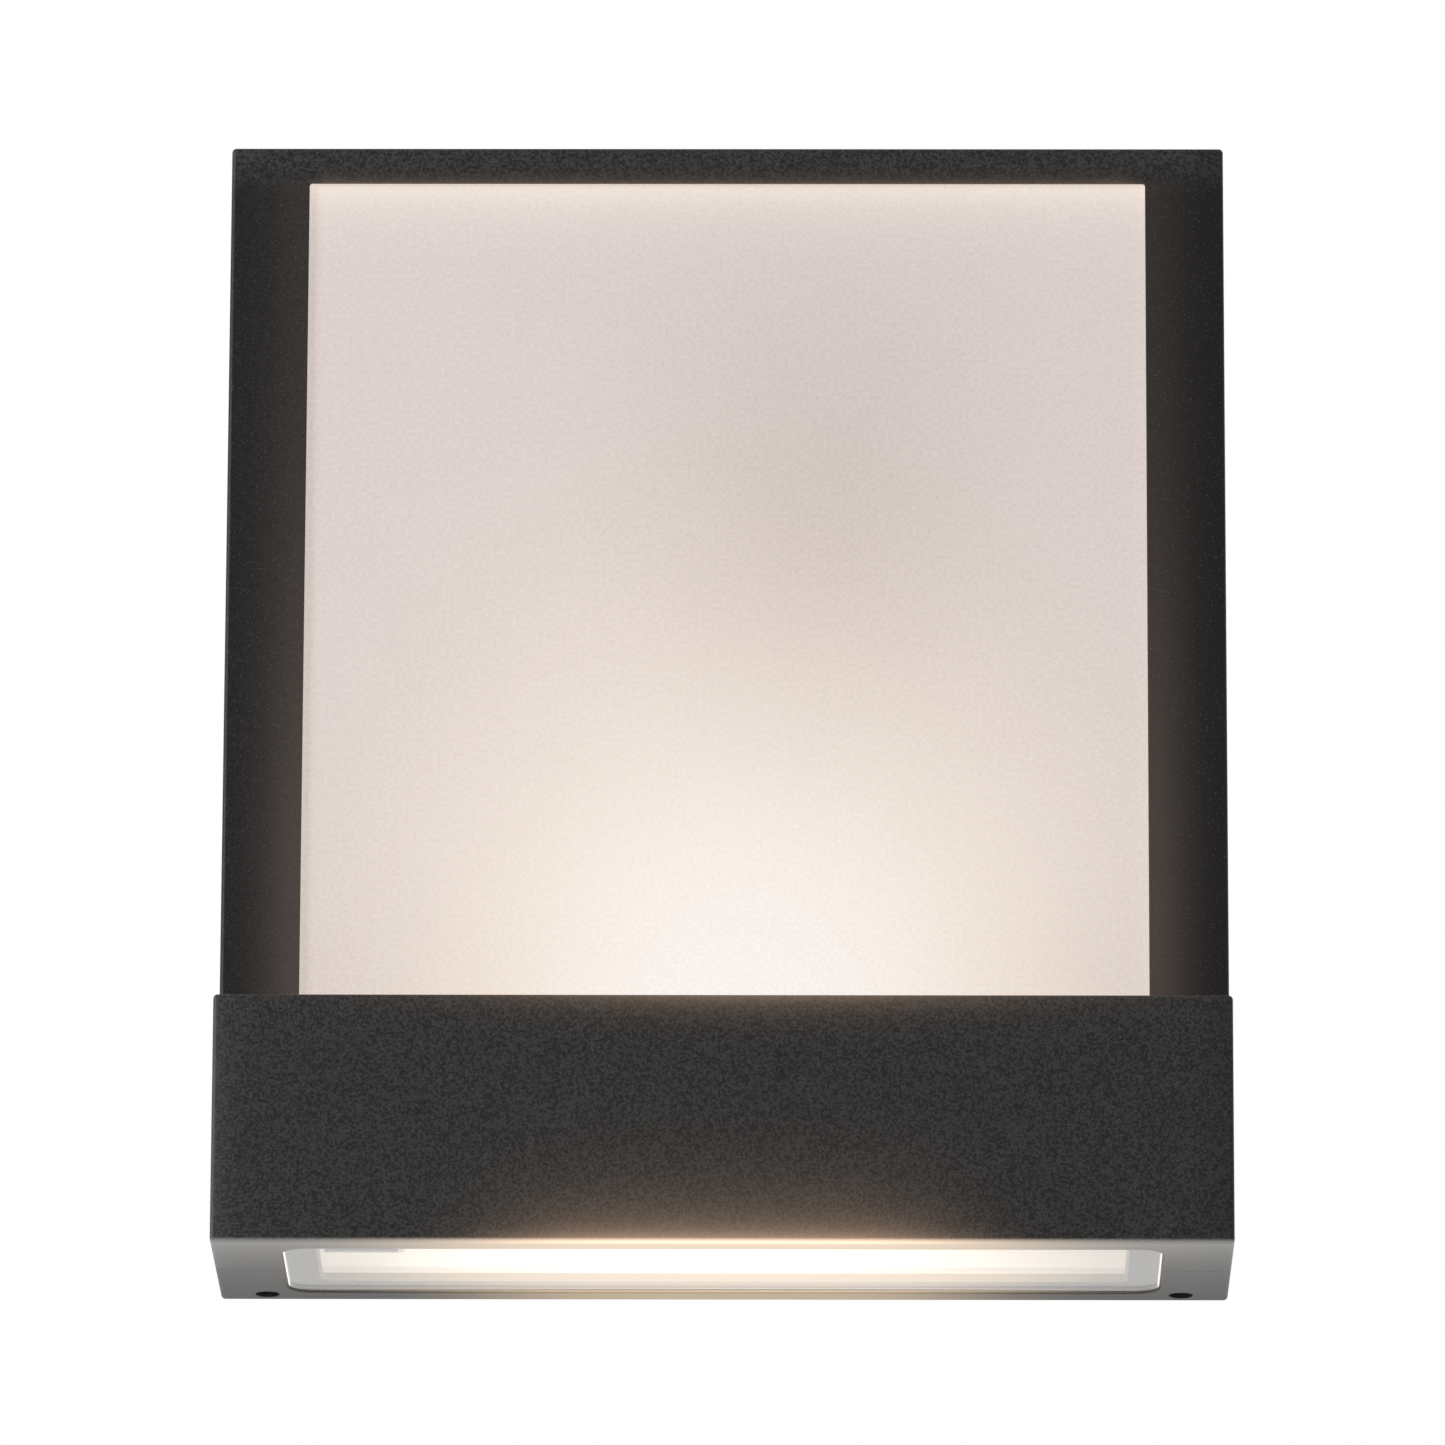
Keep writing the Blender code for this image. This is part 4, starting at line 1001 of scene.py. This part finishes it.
def makeRetainingScrews():
    shape = socketScrew
    radius = shape["radius"]
    for side in ("left", "right"):
        node = f"retaining_screw_{side}"
        low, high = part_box(node)
        length = high.z - low.z
        profile = [
            (0, 0), (radius - 0.45 * mm, 0), (radius - 0.08 * mm, 0.35 * mm),
            *thread(radius, 0.45 * mm, length - 1.1 * mm, shape["threadDepth"], 0.10 * mm),
            (radius - 0.35 * mm, length - 0.9 * mm), (radius - 1.1 * mm, length), (0, length),
        ]
        spot = ((low.x + high.x) / 2, (low.y + high.y) / 2, low.z)
        screw = turned(f"{side}SocketScrew", profile, spot, "+Z", 48, pitch=shape["pitch"], sharpThread=True)
        angles = [math.pi * corner / 3 for corner in range(6)]
        hexagon = [
            (shape["socket"] * math.cos(angle) + spot[0], shape["socket"] * math.sin(angle) + spot[1])
            for angle in angles]
        cut(screw, plate("toolSocket", hexagon, low.z - mm, low.z + shape["socketDepth"], "Z"))
        softened(screw, 0.10 * mm, choose=lambda middle: middle.z < 0.01 * mm and middle.xy.length < 1.6 * mm)
        install(screw, f"{side}_screw", finishes["blackened"], "black_steel", node)


makeScrews()
makeClips()
makeRetainingScrews()
print("screws and clips made")


tray = {
    "sheet": 1.5 * mm, "bend": 1.0 * mm, "color": (0.80, 0.79, 0.765), "second": (0.76, 0.75, 0.72),
    "holeRadius": 10.5 * mm, "gasketHole": 14.5 * mm,
    "slotSize": (14.0 * mm, 5.5 * mm), "slotX": 70 * mm, "slotHeights": (-40 * mm, 98 * mm),
    "screwHoles": {
        "earth_screw": 1.9 * mm, "terminal_fixing_screw": 1.6 * mm,
        "bracket_screw_1": 2.0 * mm, "bracket_screw_2": 2.0 * mm},
    # the lamp's light held between the tray and the band
    "glow": (1.0, 0.875, 0.76), "glowStrength": 1.15, "glowX": -4 * mm, "glowSize": (93 * mm, 34 * mm),
}
grommet = {"neckGap": 0.3 * mm, "lip": 2.6 * mm, "rearLip": 1.6 * mm, "rise": 9.0 * mm, "round": 0.45 * mm}
trayLow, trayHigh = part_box("wall_plate")
entry = middleOf("cable_grommet")


def makeTrayCoat():
    look = tray
    coat = newFinish("whiteCoat")
    place = coat.place()
    x, _, z = coat.axes(place)
    grain = coat.noise(place, 0.7 * mm, 3.0)
    cloud = coat.noise(place, 18 * mm, 3.0)
    tone = coat.mix(coat.between(cloud, 0.3, 0.75), look["color"], look["second"])
    wide, tall = look["glowSize"]
    light = coat.bell((x - look["glowX"]) / wide, (z - trayLow.z) / tall) * look["glowStrength"]
    return coat.finished(
        Base_Color=tone, Roughness=0.42 + 0.10 * grain, Emission_Color=coat.tinted(light, look["glow"]),
        Emission_Strength=1.0, Normal=coat.bump(grain, 0.02 * mm, 0.6))


def entryAndSlots(entryRadius):
    # tools for the cable's hole and the four wall-screw slots, through tray or gasket
    length, width = tray["slotSize"]
    made = [rod("toolEntry", (entry.x, 0, entry.z), "Y", entryRadius, 20 * mm, 72)]
    for z in tray["slotHeights"]:
        for x in (-tray["slotX"], tray["slotX"]):
            outline = rectangle(
                (x - length / 2, z - width / 2), (x + length / 2, z + width / 2), width * 0.4999, 12)
            made.append(plate("toolSlot", outline, -10 * mm, 10 * mm, "Y"))
    return made


def makeWallSide():
    sheet = tray["sheet"]
    pan = block("wallTray", trayLow, trayHigh, tray["bend"], corner=1.0 * mm, steps=6, edges=(False, True))
    hollow = block(
        "toolTray", (trayLow.x + sheet, trayLow.y - 8 * mm, trayLow.z + sheet),
        (trayHigh.x - sheet, trayHigh.y - sheet, trayHigh.z - sheet), 0.5 * mm,
        corner=0.5 * mm, edges=(False, True))
    cut(pan, hollow)
    softened(pan, 0.22 * mm)
    tools = entryAndSlots(tray["holeRadius"])
    planes = {"X": [entry.x, -tray["slotX"], tray["slotX"]], "Z": [entry.z, *tray["slotHeights"]]}
    for node, radius in tray["screwHoles"].items():
        spot = middleOf(node)
        tools.append(rod("toolHole", (spot.x, 0, spot.z), "Y", radius, 20 * mm))
        planes["X"].append(spot.x)
        planes["Z"].append(spot.z)
    scored(pan, planes)
    cut(pan, *tools)
    install(pan, "wall_unit", makeTrayCoat(), "white_coat", "wall_plate")

    low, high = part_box("wall_gasket")
    gasket = block("foamGasket", low, high, 0.35 * mm, corner=1.2 * mm)
    cut(gasket, *entryAndSlots(tray["gasketHole"]))
    softened(gasket, 0.25 * mm)
    install(gasket, "wall_unit", finishes["foam"], "grey_foam", "wall_gasket")


def makeGrommet():
    shape = grommet
    neck, lip = tray["holeRadius"] - shape["neckGap"], tray["holeRadius"] + shape["lip"]
    groove, behind = tray["sheet"] + 0.6 * mm, -shape["rearLip"]
    profile = rounded([
        (3.6 * mm, shape["rise"]), (5.8 * mm, shape["rise"]), (8.0 * mm, groove + 2.2 * mm),
        (lip, groove + 1.6 * mm), (lip, groove), (neck, groove), (neck, 0), (lip, 0), (lip, behind),
        (6.2 * mm, behind), (4.0 * mm, 5.0 * mm),
    ], shape["round"], 5)
    spot = (entry.x, trayHigh.y + 0.3 * mm, entry.z)
    ring = turned("cableGrommet", profile, spot, "-Y", 72, closed=True)
    install(ring, "wall_unit", finishes["rubber"], "black_rubber", "cable_grommet")


makeWallSide()
makeGrommet()
print("tray, gasket and grommet made")


terminals = {
    "polePitch": 9.0 * mm, "pole": (7.2 * mm, 17.0 * mm), "baseDepth": 6.0 * mm,
    "screwRise": 4.8 * mm, "well": (2.2 * mm, 2.4 * mm),
    "port": 1.7 * mm, "portRise": 8 * mm, "portBack": 2.5 * mm,
    "fixing": 1.6 * mm, "fixingWell": 2.6 * mm, "slot": (0.56 * mm, 0.75 * mm),
}
earthTag = {"radius": 4.0 * mm, "bore": 2.0 * mm, "sheet": 0.8 * mm, "tongue": 3.2 * mm}


def makeTerminalBlock():
    shape = terminals
    low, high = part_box("terminal_block")
    middleX, middleZ = (low.x + high.x) / 2, (low.z + high.z) / 2
    baseFront = high.y - shape["baseDepth"]
    portY = baseFront - shape["portBack"]
    base = block(
        "terminalBlock", (low.x, baseFront, low.z), high, 0.5 * mm, corner=0.9 * mm, edges=(True, False))
    poleWidth, poleHeight = shape["pole"]
    wellRadius, wellDepth = shape["well"]
    poles = [middleX + side * shape["polePitch"] for side in (-1, 0, 1)]
    for x in poles:
        join(base, block(
            "toolPole", (x - poleWidth / 2, low.y, middleZ - poleHeight / 2),
            (x + poleWidth / 2, baseFront + 0.5 * mm, middleZ + poleHeight / 2), 0.5 * mm, corner=0.8 * mm,
            edges=(True, False)))
    tools = []
    for x in poles:
        for end in (-1, 1):
            port = (x, portY, middleZ + end * shape["portRise"])
            well = (x, low.y, middleZ + end * shape["screwRise"])
            tools.append(rod("toolPort", port, "Z", shape["port"], 7 * mm, 40))
            tools.append(rod("toolWell", well, "Y", wellRadius, 2 * wellDepth, 40))
    fixingX = middleOf("terminal_fixing_screw").x
    tools.append(rod("toolFixing", (fixingX, baseFront, middleZ), "Y", shape["fixing"], 30 * mm, 40))
    tools.append(rod("toolFixingWell", (fixingX, low.y, middleZ), "Y", shape["fixingWell"], 14 * mm, 40))
    rises = [middleZ, middleZ - shape["screwRise"], middleZ + shape["screwRise"]]
    scored(base, {"X": [*poles, fixingX], "Y": [portY], "Z": rises})
    cut(base, *tools)
    softened(base, 0.18 * mm, merge=False)
    install(base, "wall_unit", finishes["ivory"], "ivory_plastic", "terminal_block")


def makeClampScrews():
    width, depth = terminals["slot"]
    for number in range(1, 7):
        node = f"terminal_screw_{number}"
        low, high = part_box(node)
        radius, tall = (high.x - low.x) / 2, high.y - low.y
        profile = rounded([(0, tall), (radius, tall), (radius, 0), (0, 0)], 0.28 * mm, 5, closed=False)
        spot = ((low.x + high.x) / 2, high.y, (low.z + high.z) / 2)
        screw = turned(f"clampScrew{number}", profile, spot, "-Y", 48)
        tool = block(
            "toolSlot", (-3 * mm, -width / 2, tall - depth), (3 * mm, width / 2, tall + mm), 0.04 * mm)
        tool.matrix_world = screw.matrix_world @ Matrix.Rotation(0.5 + 1.1 * number, 4, "Z")
        bpy.context.view_layer.update()
        cut(screw, tool)
        softened(screw, 0.06 * mm, choose=lambda middle: middle.z > tall - 0.9 * mm)
        install(screw, "wall_unit", finishes["nickel"], "nickel", node)


def makeEarthTag():
    _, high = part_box("earth_tag")
    screwAt = middleOf("earth_screw")
    radius, bore, sheet = earthTag["radius"], earthTag["bore"], earthTag["sheet"]
    half = earthTag["tongue"] / 2
    profile = rounded([(radius, sheet), (radius, 0), (bore, 0), (bore, sheet)], 0.15 * mm, 4)
    tag = turned("earthTag", profile, (screwAt.x, high.y, screwAt.z), "-Y", 72, closed=True)
    join(tag, block(
        "toolTongue", (screwAt.x - half, high.y - 0.7 * mm, screwAt.z + 3.0 * mm),
        (screwAt.x + half, high.y - 0.1 * mm, high.z), 0.1 * mm))
    install(tag, "wall_unit", finishes["brass"], "brass", "earth_tag")


makeTerminalBlock()
makeClampScrews()
makeEarthTag()
print("terminals made")


lampThread = {"pitch": 3.62 * mm, "crest": 13.0 * mm, "depth": 0.80 * mm}      # of a 27 mm screw cap
holder = {
    "bore": 14.4 * mm, "floor": 15.9 * mm, "rimRadius": 19.5 * mm, "bodyRadius": 17.5 * mm,
    "grooveDepth": 0.5 * mm, "screwRise": 12.5 * mm, "pocket": 1.8 * mm,
    "portOffset": 5 * mm, "port": 1.7 * mm,
    "shellThread": 0.42 * mm, "shellWall": 0.25 * mm, "contact": (3.5 * mm, 5.0 * mm),
}
bracket = {
    "sheet": 1.5 * mm, "bend": (2.2 * mm, 0.8 * mm), "corner": 3 * mm, "cableHole": 8.5 * mm,
    "screwHole": 1.9 * mm, "footHole": 2.0 * mm,
}
lampAxis = middleOf("lampholder_body")


def onLampAxis(x):
    return (x, lampAxis.y, lampAxis.z)


def spanOf(node):
    # where a CAD node starts along the lamp's axis, how long it is, and its radius
    low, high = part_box(node)
    return low.x, high.x - low.x, (high.z - low.z) / 2


def turnedOnAxis(name, outline, start, sides=64, steps=6):
    # an outline of (radius, height, corner radius) turned about the lamp's axis
    return turned(name, rounded(outline, 0, steps, closed=False), onLampAxis(start), "+X", sides)


def makeHolderBody():
    shape = holder
    start, reach, _ = spanOf("lampholder_body")
    floor, bore, rim, side = shape["floor"], shape["bore"], shape["rimRadius"], shape["bodyRadius"]
    groove = rim - shape["grooveDepth"]
    body = turnedOnAxis("ceramicHolder", [
        (0, floor, 0), (bore, floor, 0.8 * mm), (bore, reach, 0.5 * mm), (rim, reach, 0.9 * mm),
        (rim, floor + 12 * mm, 0.2 * mm), (groove, floor + 11.6 * mm, 0.2 * mm),
        (groove, floor + 10.8 * mm, 0.2 * mm), (rim, floor + 10.4 * mm, 0.2 * mm), (rim, floor, 0.8 * mm),
        (side, floor - 3 * mm, 0.8 * mm), (side, 0, 1.0 * mm), (0, 0, 0)], start, 96)
    tools = []
    for end in (1, -1):
        pocket = (start, lampAxis.y, lampAxis.z + end * shape["screwRise"])
        tools.append(rod("toolPocket", pocket, "X", shape["pocket"], 14 * mm, 40))
    for end in (-1, 1):
        port = (start, lampAxis.y + end * shape["portOffset"], lampAxis.z)
        tools.append(rod("toolPort", port, "X", shape["port"], 10 * mm, 40))
    cut(body, *tools)
    softened(body, 0.25 * mm, choose=lambda middle: middle.z < 0.01 * mm)
    install(body, "wall_unit", finishes["glazedCeramic"], "white_ceramic", "lampholder_body")


def makeShellAndContact():
    start, length, outside = spanOf("lampholder_shell")
    inside, depth = outside - holder["shellWall"], holder["shellThread"]
    inner = thread(inside, length - 0.3 * mm, 0.3 * mm, depth, 0.22 * mm)
    outer = thread(outside, 0.3 * mm, length - 0.3 * mm, depth, 0.22 * mm)
    profile = [(inside + 0.1 * mm, length), *inner, (inside + 0.1 * mm, 0), *outer]
    shell = turned(
        "threadedShell", profile, onLampAxis(start), "+X", 96, closed=True, pitch=lampThread["pitch"])
    install(shell, "wall_unit", finishes["brass"], "brass", "lampholder_shell")

    start, tall, _ = spanOf("lampholder_contact")
    tip, foot = holder["contact"]
    contact = turnedOnAxis("springContact", [
        (0, tall, 0), (tip, tall, 1.2 * mm), (foot, 0.6 * mm, 0.2 * mm), (foot, 0, 0.1 * mm),
        (0, 0, 0)], start)
    install(contact, "wall_unit", finishes["nickel"], "nickel", "lampholder_contact")


def makeBracket():
    shape = bracket
    low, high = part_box("lampholder_bracket")
    sheet, corner = shape["sheet"], shape["corner"]
    outerBend, innerBend = shape["bend"]
    outline = [
        (high.x, low.y, 0), (high.x, high.y, outerBend), (low.x, high.y, 0), (low.x, high.y - sheet, 0),
        (high.x - sheet, high.y - sheet, innerBend), (high.x - sheet, low.y, 0),
    ]
    piece = plate("holderBracket", rounded(outline, 0, 8), low.z, high.z, "Z", 0.10 * mm, 2)
    for z, end in ((low.z, -1), (high.z, 1)):       # the two front corners are rounded off
        inner = z - end * corner
        tool = block(
            "toolCorner", (low.x - mm, low.y - mm, min(z, inner)),
            (high.x + mm, low.y + corner, max(z, inner)), axis="X")
        cut(tool, rod("toolRound", (high.x, low.y + corner, inner), "X", corner, 20 * mm, 64))
        cut(piece, tool)
    tools = [rod("toolCable", onLampAxis(high.x), "X", shape["cableHole"], 20 * mm, 64)]
    planes = {"X": [], "Y": [lampAxis.y], "Z": [lampAxis.z]}
    for end in (1, -1):
        rise = lampAxis.z + end * holder["screwRise"]
        tools.append(rod("toolHole", (high.x, lampAxis.y, rise), "X", shape["screwHole"], 10 * mm))
        planes["Z"].append(rise)
    for node in ("bracket_screw_1", "bracket_screw_2"):
        spot = middleOf(node)
        tools.append(rod("toolHole", (spot.x, high.y, spot.z), "Y", shape["footHole"], 20 * mm))
        planes["X"].append(spot.x)
        planes["Z"].append(spot.z)
    scored(piece, planes)
    cut(piece, *tools)
    softened(piece, 0.10 * mm, sharp=50, merge=False)
    install(piece, "wall_unit", finishes["zinc"], "zinc_steel", "lampholder_bracket")


makeHolderBody()
makeShellAndContact()
makeBracket()
print("lampholder made")


lamp = {
    "radius": 22.5 * mm, "shell": 1.2 * mm, "color": ((0.82, 0.80, 0.76), (0.86, 0.84, 0.80)),
    "glow": (1.0, 0.86, 0.68), "strength": 1.8, "neckShade": 0.45,
}


def makeGlobeFinish():
    globe = newFinish("litGlobe")
    place = globe.place()
    cloud = globe.noise(place, 12 * mm, 2.0)
    grain = globe.noise(place, 0.4 * mm, 2.0)
    fromNeck = globe.between(globe.axes(place)[2], -12 * mm, 4 * mm, lamp["neckShade"], 1.0)
    light = globe.tinted(fromNeck * (0.94 + 0.12 * cloud), lamp["glow"])
    return globe.finished(
        Base_Color=globe.mix(cloud, *lamp["color"]), Roughness=0.35 + 0.1 * grain,
        Emission_Color=light, Emission_Strength=lamp["strength"], Normal=globe.bump(grain, 0.01 * mm, 0.4))


def makeGlobe():
    low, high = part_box("lamp_globe")
    outer, inner = lamp["radius"], lamp["radius"] - lamp["shell"]
    centreX = high.x - outer
    rim = low.x - centreX
    rings = 40
    sweep = math.acos(rim / outer)
    profile = []
    for radius, steps in ((outer, range(rings + 1)), (inner, range(rings, -1, -1))):
        for step in steps:
            angle = sweep * step / rings
            profile.append((radius * math.sin(angle), max(rim, radius * math.cos(angle))))
    globe = turned("opalGlobe", profile, onLampAxis(centreX), "+X", 128)
    install(globe, "lamp", makeGlobeFinish(), "opal_globe", "lamp_globe")


def makeLampBase():
    start, length, wide = spanOf("lamp_neck")
    neck = turnedOnAxis("lampNeck", [
        (0, length, 0), (wide, length, 0.35 * mm), (wide - 0.15 * mm, length - 1.2 * mm, 0.3 * mm),
        (18.0 * mm, length - 3.5 * mm, 4 * mm), (14.5 * mm, 3.0 * mm, 4 * mm),
        (13.6 * mm, 1.2 * mm, 0.4 * mm), (13.6 * mm, 0, 0.3 * mm), (0, 0, 0)], start, 112, 7)
    install(neck, "lamp", finishes["glazedCeramic"], "white_ceramic", "lamp_neck")

    start, length, _ = spanOf("lamp_cap")
    profile = [
        (0, length), (13.1 * mm, length), (13.1 * mm, length - 3.7 * mm), (12.95 * mm, length - 4.2 * mm),
        *thread(lampThread["crest"], length - 4.4 * mm, 1.6 * mm, lampThread["depth"], 0.24 * mm),
        (12.4 * mm, 1.0 * mm), (11.7 * mm, 0.25 * mm), (11.2 * mm, 0), (0, 0),
    ]
    cap = turned("lampCap", profile, onLampAxis(start), "+X", 128, pitch=lampThread["pitch"])
    install(cap, "lamp", finishes["nickel"], "nickel", "lamp_cap")

    start, length, _ = spanOf("lamp_insulator")
    insulator = turnedOnAxis("blackInsulator", [
        (0, length, 0), (10.8 * mm, length, 0.2 * mm), (5.5 * mm, 0, 0.6 * mm), (0, 0, 0)], start, 96, 5)
    install(insulator, "lamp", finishes["blackGlassy"], "black_plastic", "lamp_insulator")

    start, length, _ = spanOf("lamp_contact")
    contact = turnedOnAxis("endContact", [
        (0, length, 0), (4.5 * mm, length, 0.2 * mm), (4.0 * mm, 0.5 * mm, 0.5 * mm), (2.0 * mm, 0, 1.5 * mm),
        (0, 0, 0)], start)
    install(contact, "lamp", finishes["nickel"], "nickel", "lamp_contact")


makeGlobe()
makeLampBase()
print("lamp made")


wiring = {
    "radius": 1.2 * mm, "sides": 18, "steps": 12, "endSize": 0.82, "stripe": 0.62,
    # points that each wire runs through, in millimetres
    "wire_live": [
        (23.0, -12.4, 41.0), (23.0, -12.4, 33.5), (21.2, -9.0, 27.0), (20.0, -6.3, 18.0), (20.0, -6.3, -15.0),
        (20.0, -6.3, -45.0), (16.0, -6.3, -59.0), (5.0, -6.3, -66.0), (-30.0, -6.3, -66.0),
        (-70.0, -6.3, -66.0),
        (-92.0, -6.3, -69.0), (-101.0, -8.5, -79.0), (-103.0, -17.0, -92.0), (-101.0, -28.0, -101.0),
        (-93.0, -36.0, -104.25), (-82.0, -36.0, -104.25), (-70.4, -36.0, -104.25)],
    "wire_neutral": [
        (32.0, -12.4, 41.0), (32.0, -12.4, 33.5), (28.0, -9.0, 26.5), (23.4, -6.3, 16.0), (23.4, -6.3, -15.0),
        (23.4, -6.3, -47.0), (19.0, -6.3, -62.0), (6.0, -6.3, -69.4), (-30.0, -6.3, -69.4),
        (-69.0, -6.3, -69.4),
        (-88.5, -6.3, -72.5), (-96.5, -8.5, -82.0), (-98.5, -14.0, -93.0), (-96.5, -20.5, -101.0),
        (-90.0, -26.0, -104.25), (-82.0, -26.0, -104.25), (-70.4, -26.0, -104.25)],
    "wire_earth": [
        (41.0, -12.4, 41.0), (41.0, -12.4, 34.5), (44.0, -9.5, 30.0), (48.5, -6.6, 29.0), (50.0, -5.8, 26.2)],
}


def smoothRoute(points, steps):
    points = [Vector(point) * mm for point in points]
    points = [2 * points[0] - points[1], *points, 2 * points[-1] - points[-2]]
    route = []
    for before, start, end, after in zip(points, points[1:], points[2:], points[3:]):
        for step in range(steps):
            t = step / steps
            route.append(0.5 * (
                2 * start + (end - before) * t + (2 * before - 5 * start + 4 * end - after) * t**2
                + (3 * start - before - 3 * end + after) * t**3))
    return route + [points[-2]]


def tube(name, route, radius, sides):
    # a tube along a route, turned as little as possible, with rounded ends
    headings = [
        (after - before).normalized() for before, after in zip([route[0]] + route, route[1:] + [route[-1]])]
    across = headings[0].orthogonal().normalized()
    angles = [2 * math.pi * side / sides for side in range(sides)]
    rings = []
    last = len(route) - 1
    for index, (point, heading) in enumerate(zip(route, headings)):
        across = (across - heading * across.dot(heading)).normalized()
        other = heading.cross(across)
        here = radius * (wiring["endSize"] if index in (0, last) else 1.0)
        rings.append([
            point + here * (across * math.cos(angle) + other * math.sin(angle)) for angle in angles])
    for end, second in ((0, 1), (last, last - 1)):      # a short round shoulder at each end
        share = min(1.0, 0.25 * radius / (route[end] - route[second]).length)
        shoulder = route[end].lerp(route[second], share)
        full = [shoulder + (spot - route[end]) / wiring["endSize"] for spot in rings[end]]
        rings.insert(1 if end == 0 else len(rings) - 1, full)
    return asPiece(name, lofted(rings))


def striped(wire, route):
    # green, with a yellow stripe down each side
    for color in ("greenSleeve", "yellowSleeve"):
        wire.data.materials.append(finishes[color])
    for face in wire.data.polygons:
        centre = face.center.copy()
        nearest = min(range(len(route) - 1), key=lambda index: (route[index] - centre).length)
        heading = (route[nearest + 1] - route[nearest]).normalized()
        off = centre - route[nearest]
        off -= heading * off.dot(heading)
        flat = Vector((0, 1, 0)) - heading * heading.y
        if abs(off.normalized().dot(flat.normalized())) > wiring["stripe"]:
            face.material_index = 1


def makeWires():
    for kind, color in (("live", "brown"), ("neutral", "blue"), ("earth", "green")):
        route = smoothRoute(wiring["wire_" + kind], wiring["steps"])
        wire = tube("sleeved_" + kind, route, wiring["radius"], wiring["sides"])
        if kind == "earth":
            striped(wire, route)
        install(wire, "wall_unit", finishes[color + "Sleeve"], color + "_sleeve", "wire_" + kind)


saddles = {"edge": 0.45 * mm, "corner": 1.0 * mm, "wall": 1.0 * mm, "tunnel": 3.3 * mm}


def makeSaddles():
    narrow, long = saddles["tunnel"], 10 * mm
    for number, halfX, halfZ in ((1, narrow, long), (2, long, narrow)):
        node = f"wire_saddle_{number}"
        low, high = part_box(node)
        middle = (low + high) / 2
        piece = block(
            f"cableSaddle{number}", low, high, saddles["edge"], corner=saddles["corner"], edges=(True, False))
        cut(piece, block(
            "toolTunnel", (middle.x - halfX, low.y + saddles["wall"], middle.z - halfZ),
            (middle.x + halfX, 5 * mm, middle.z + halfZ), 0.8 * mm, corner=0.0, edges=(True, False)))
        softened(piece, 0.20 * mm)
        install(piece, "wall_unit", finishes["ivory"], "ivory_plastic", node)


makeWires()
makeSaddles()
print("wiring made")
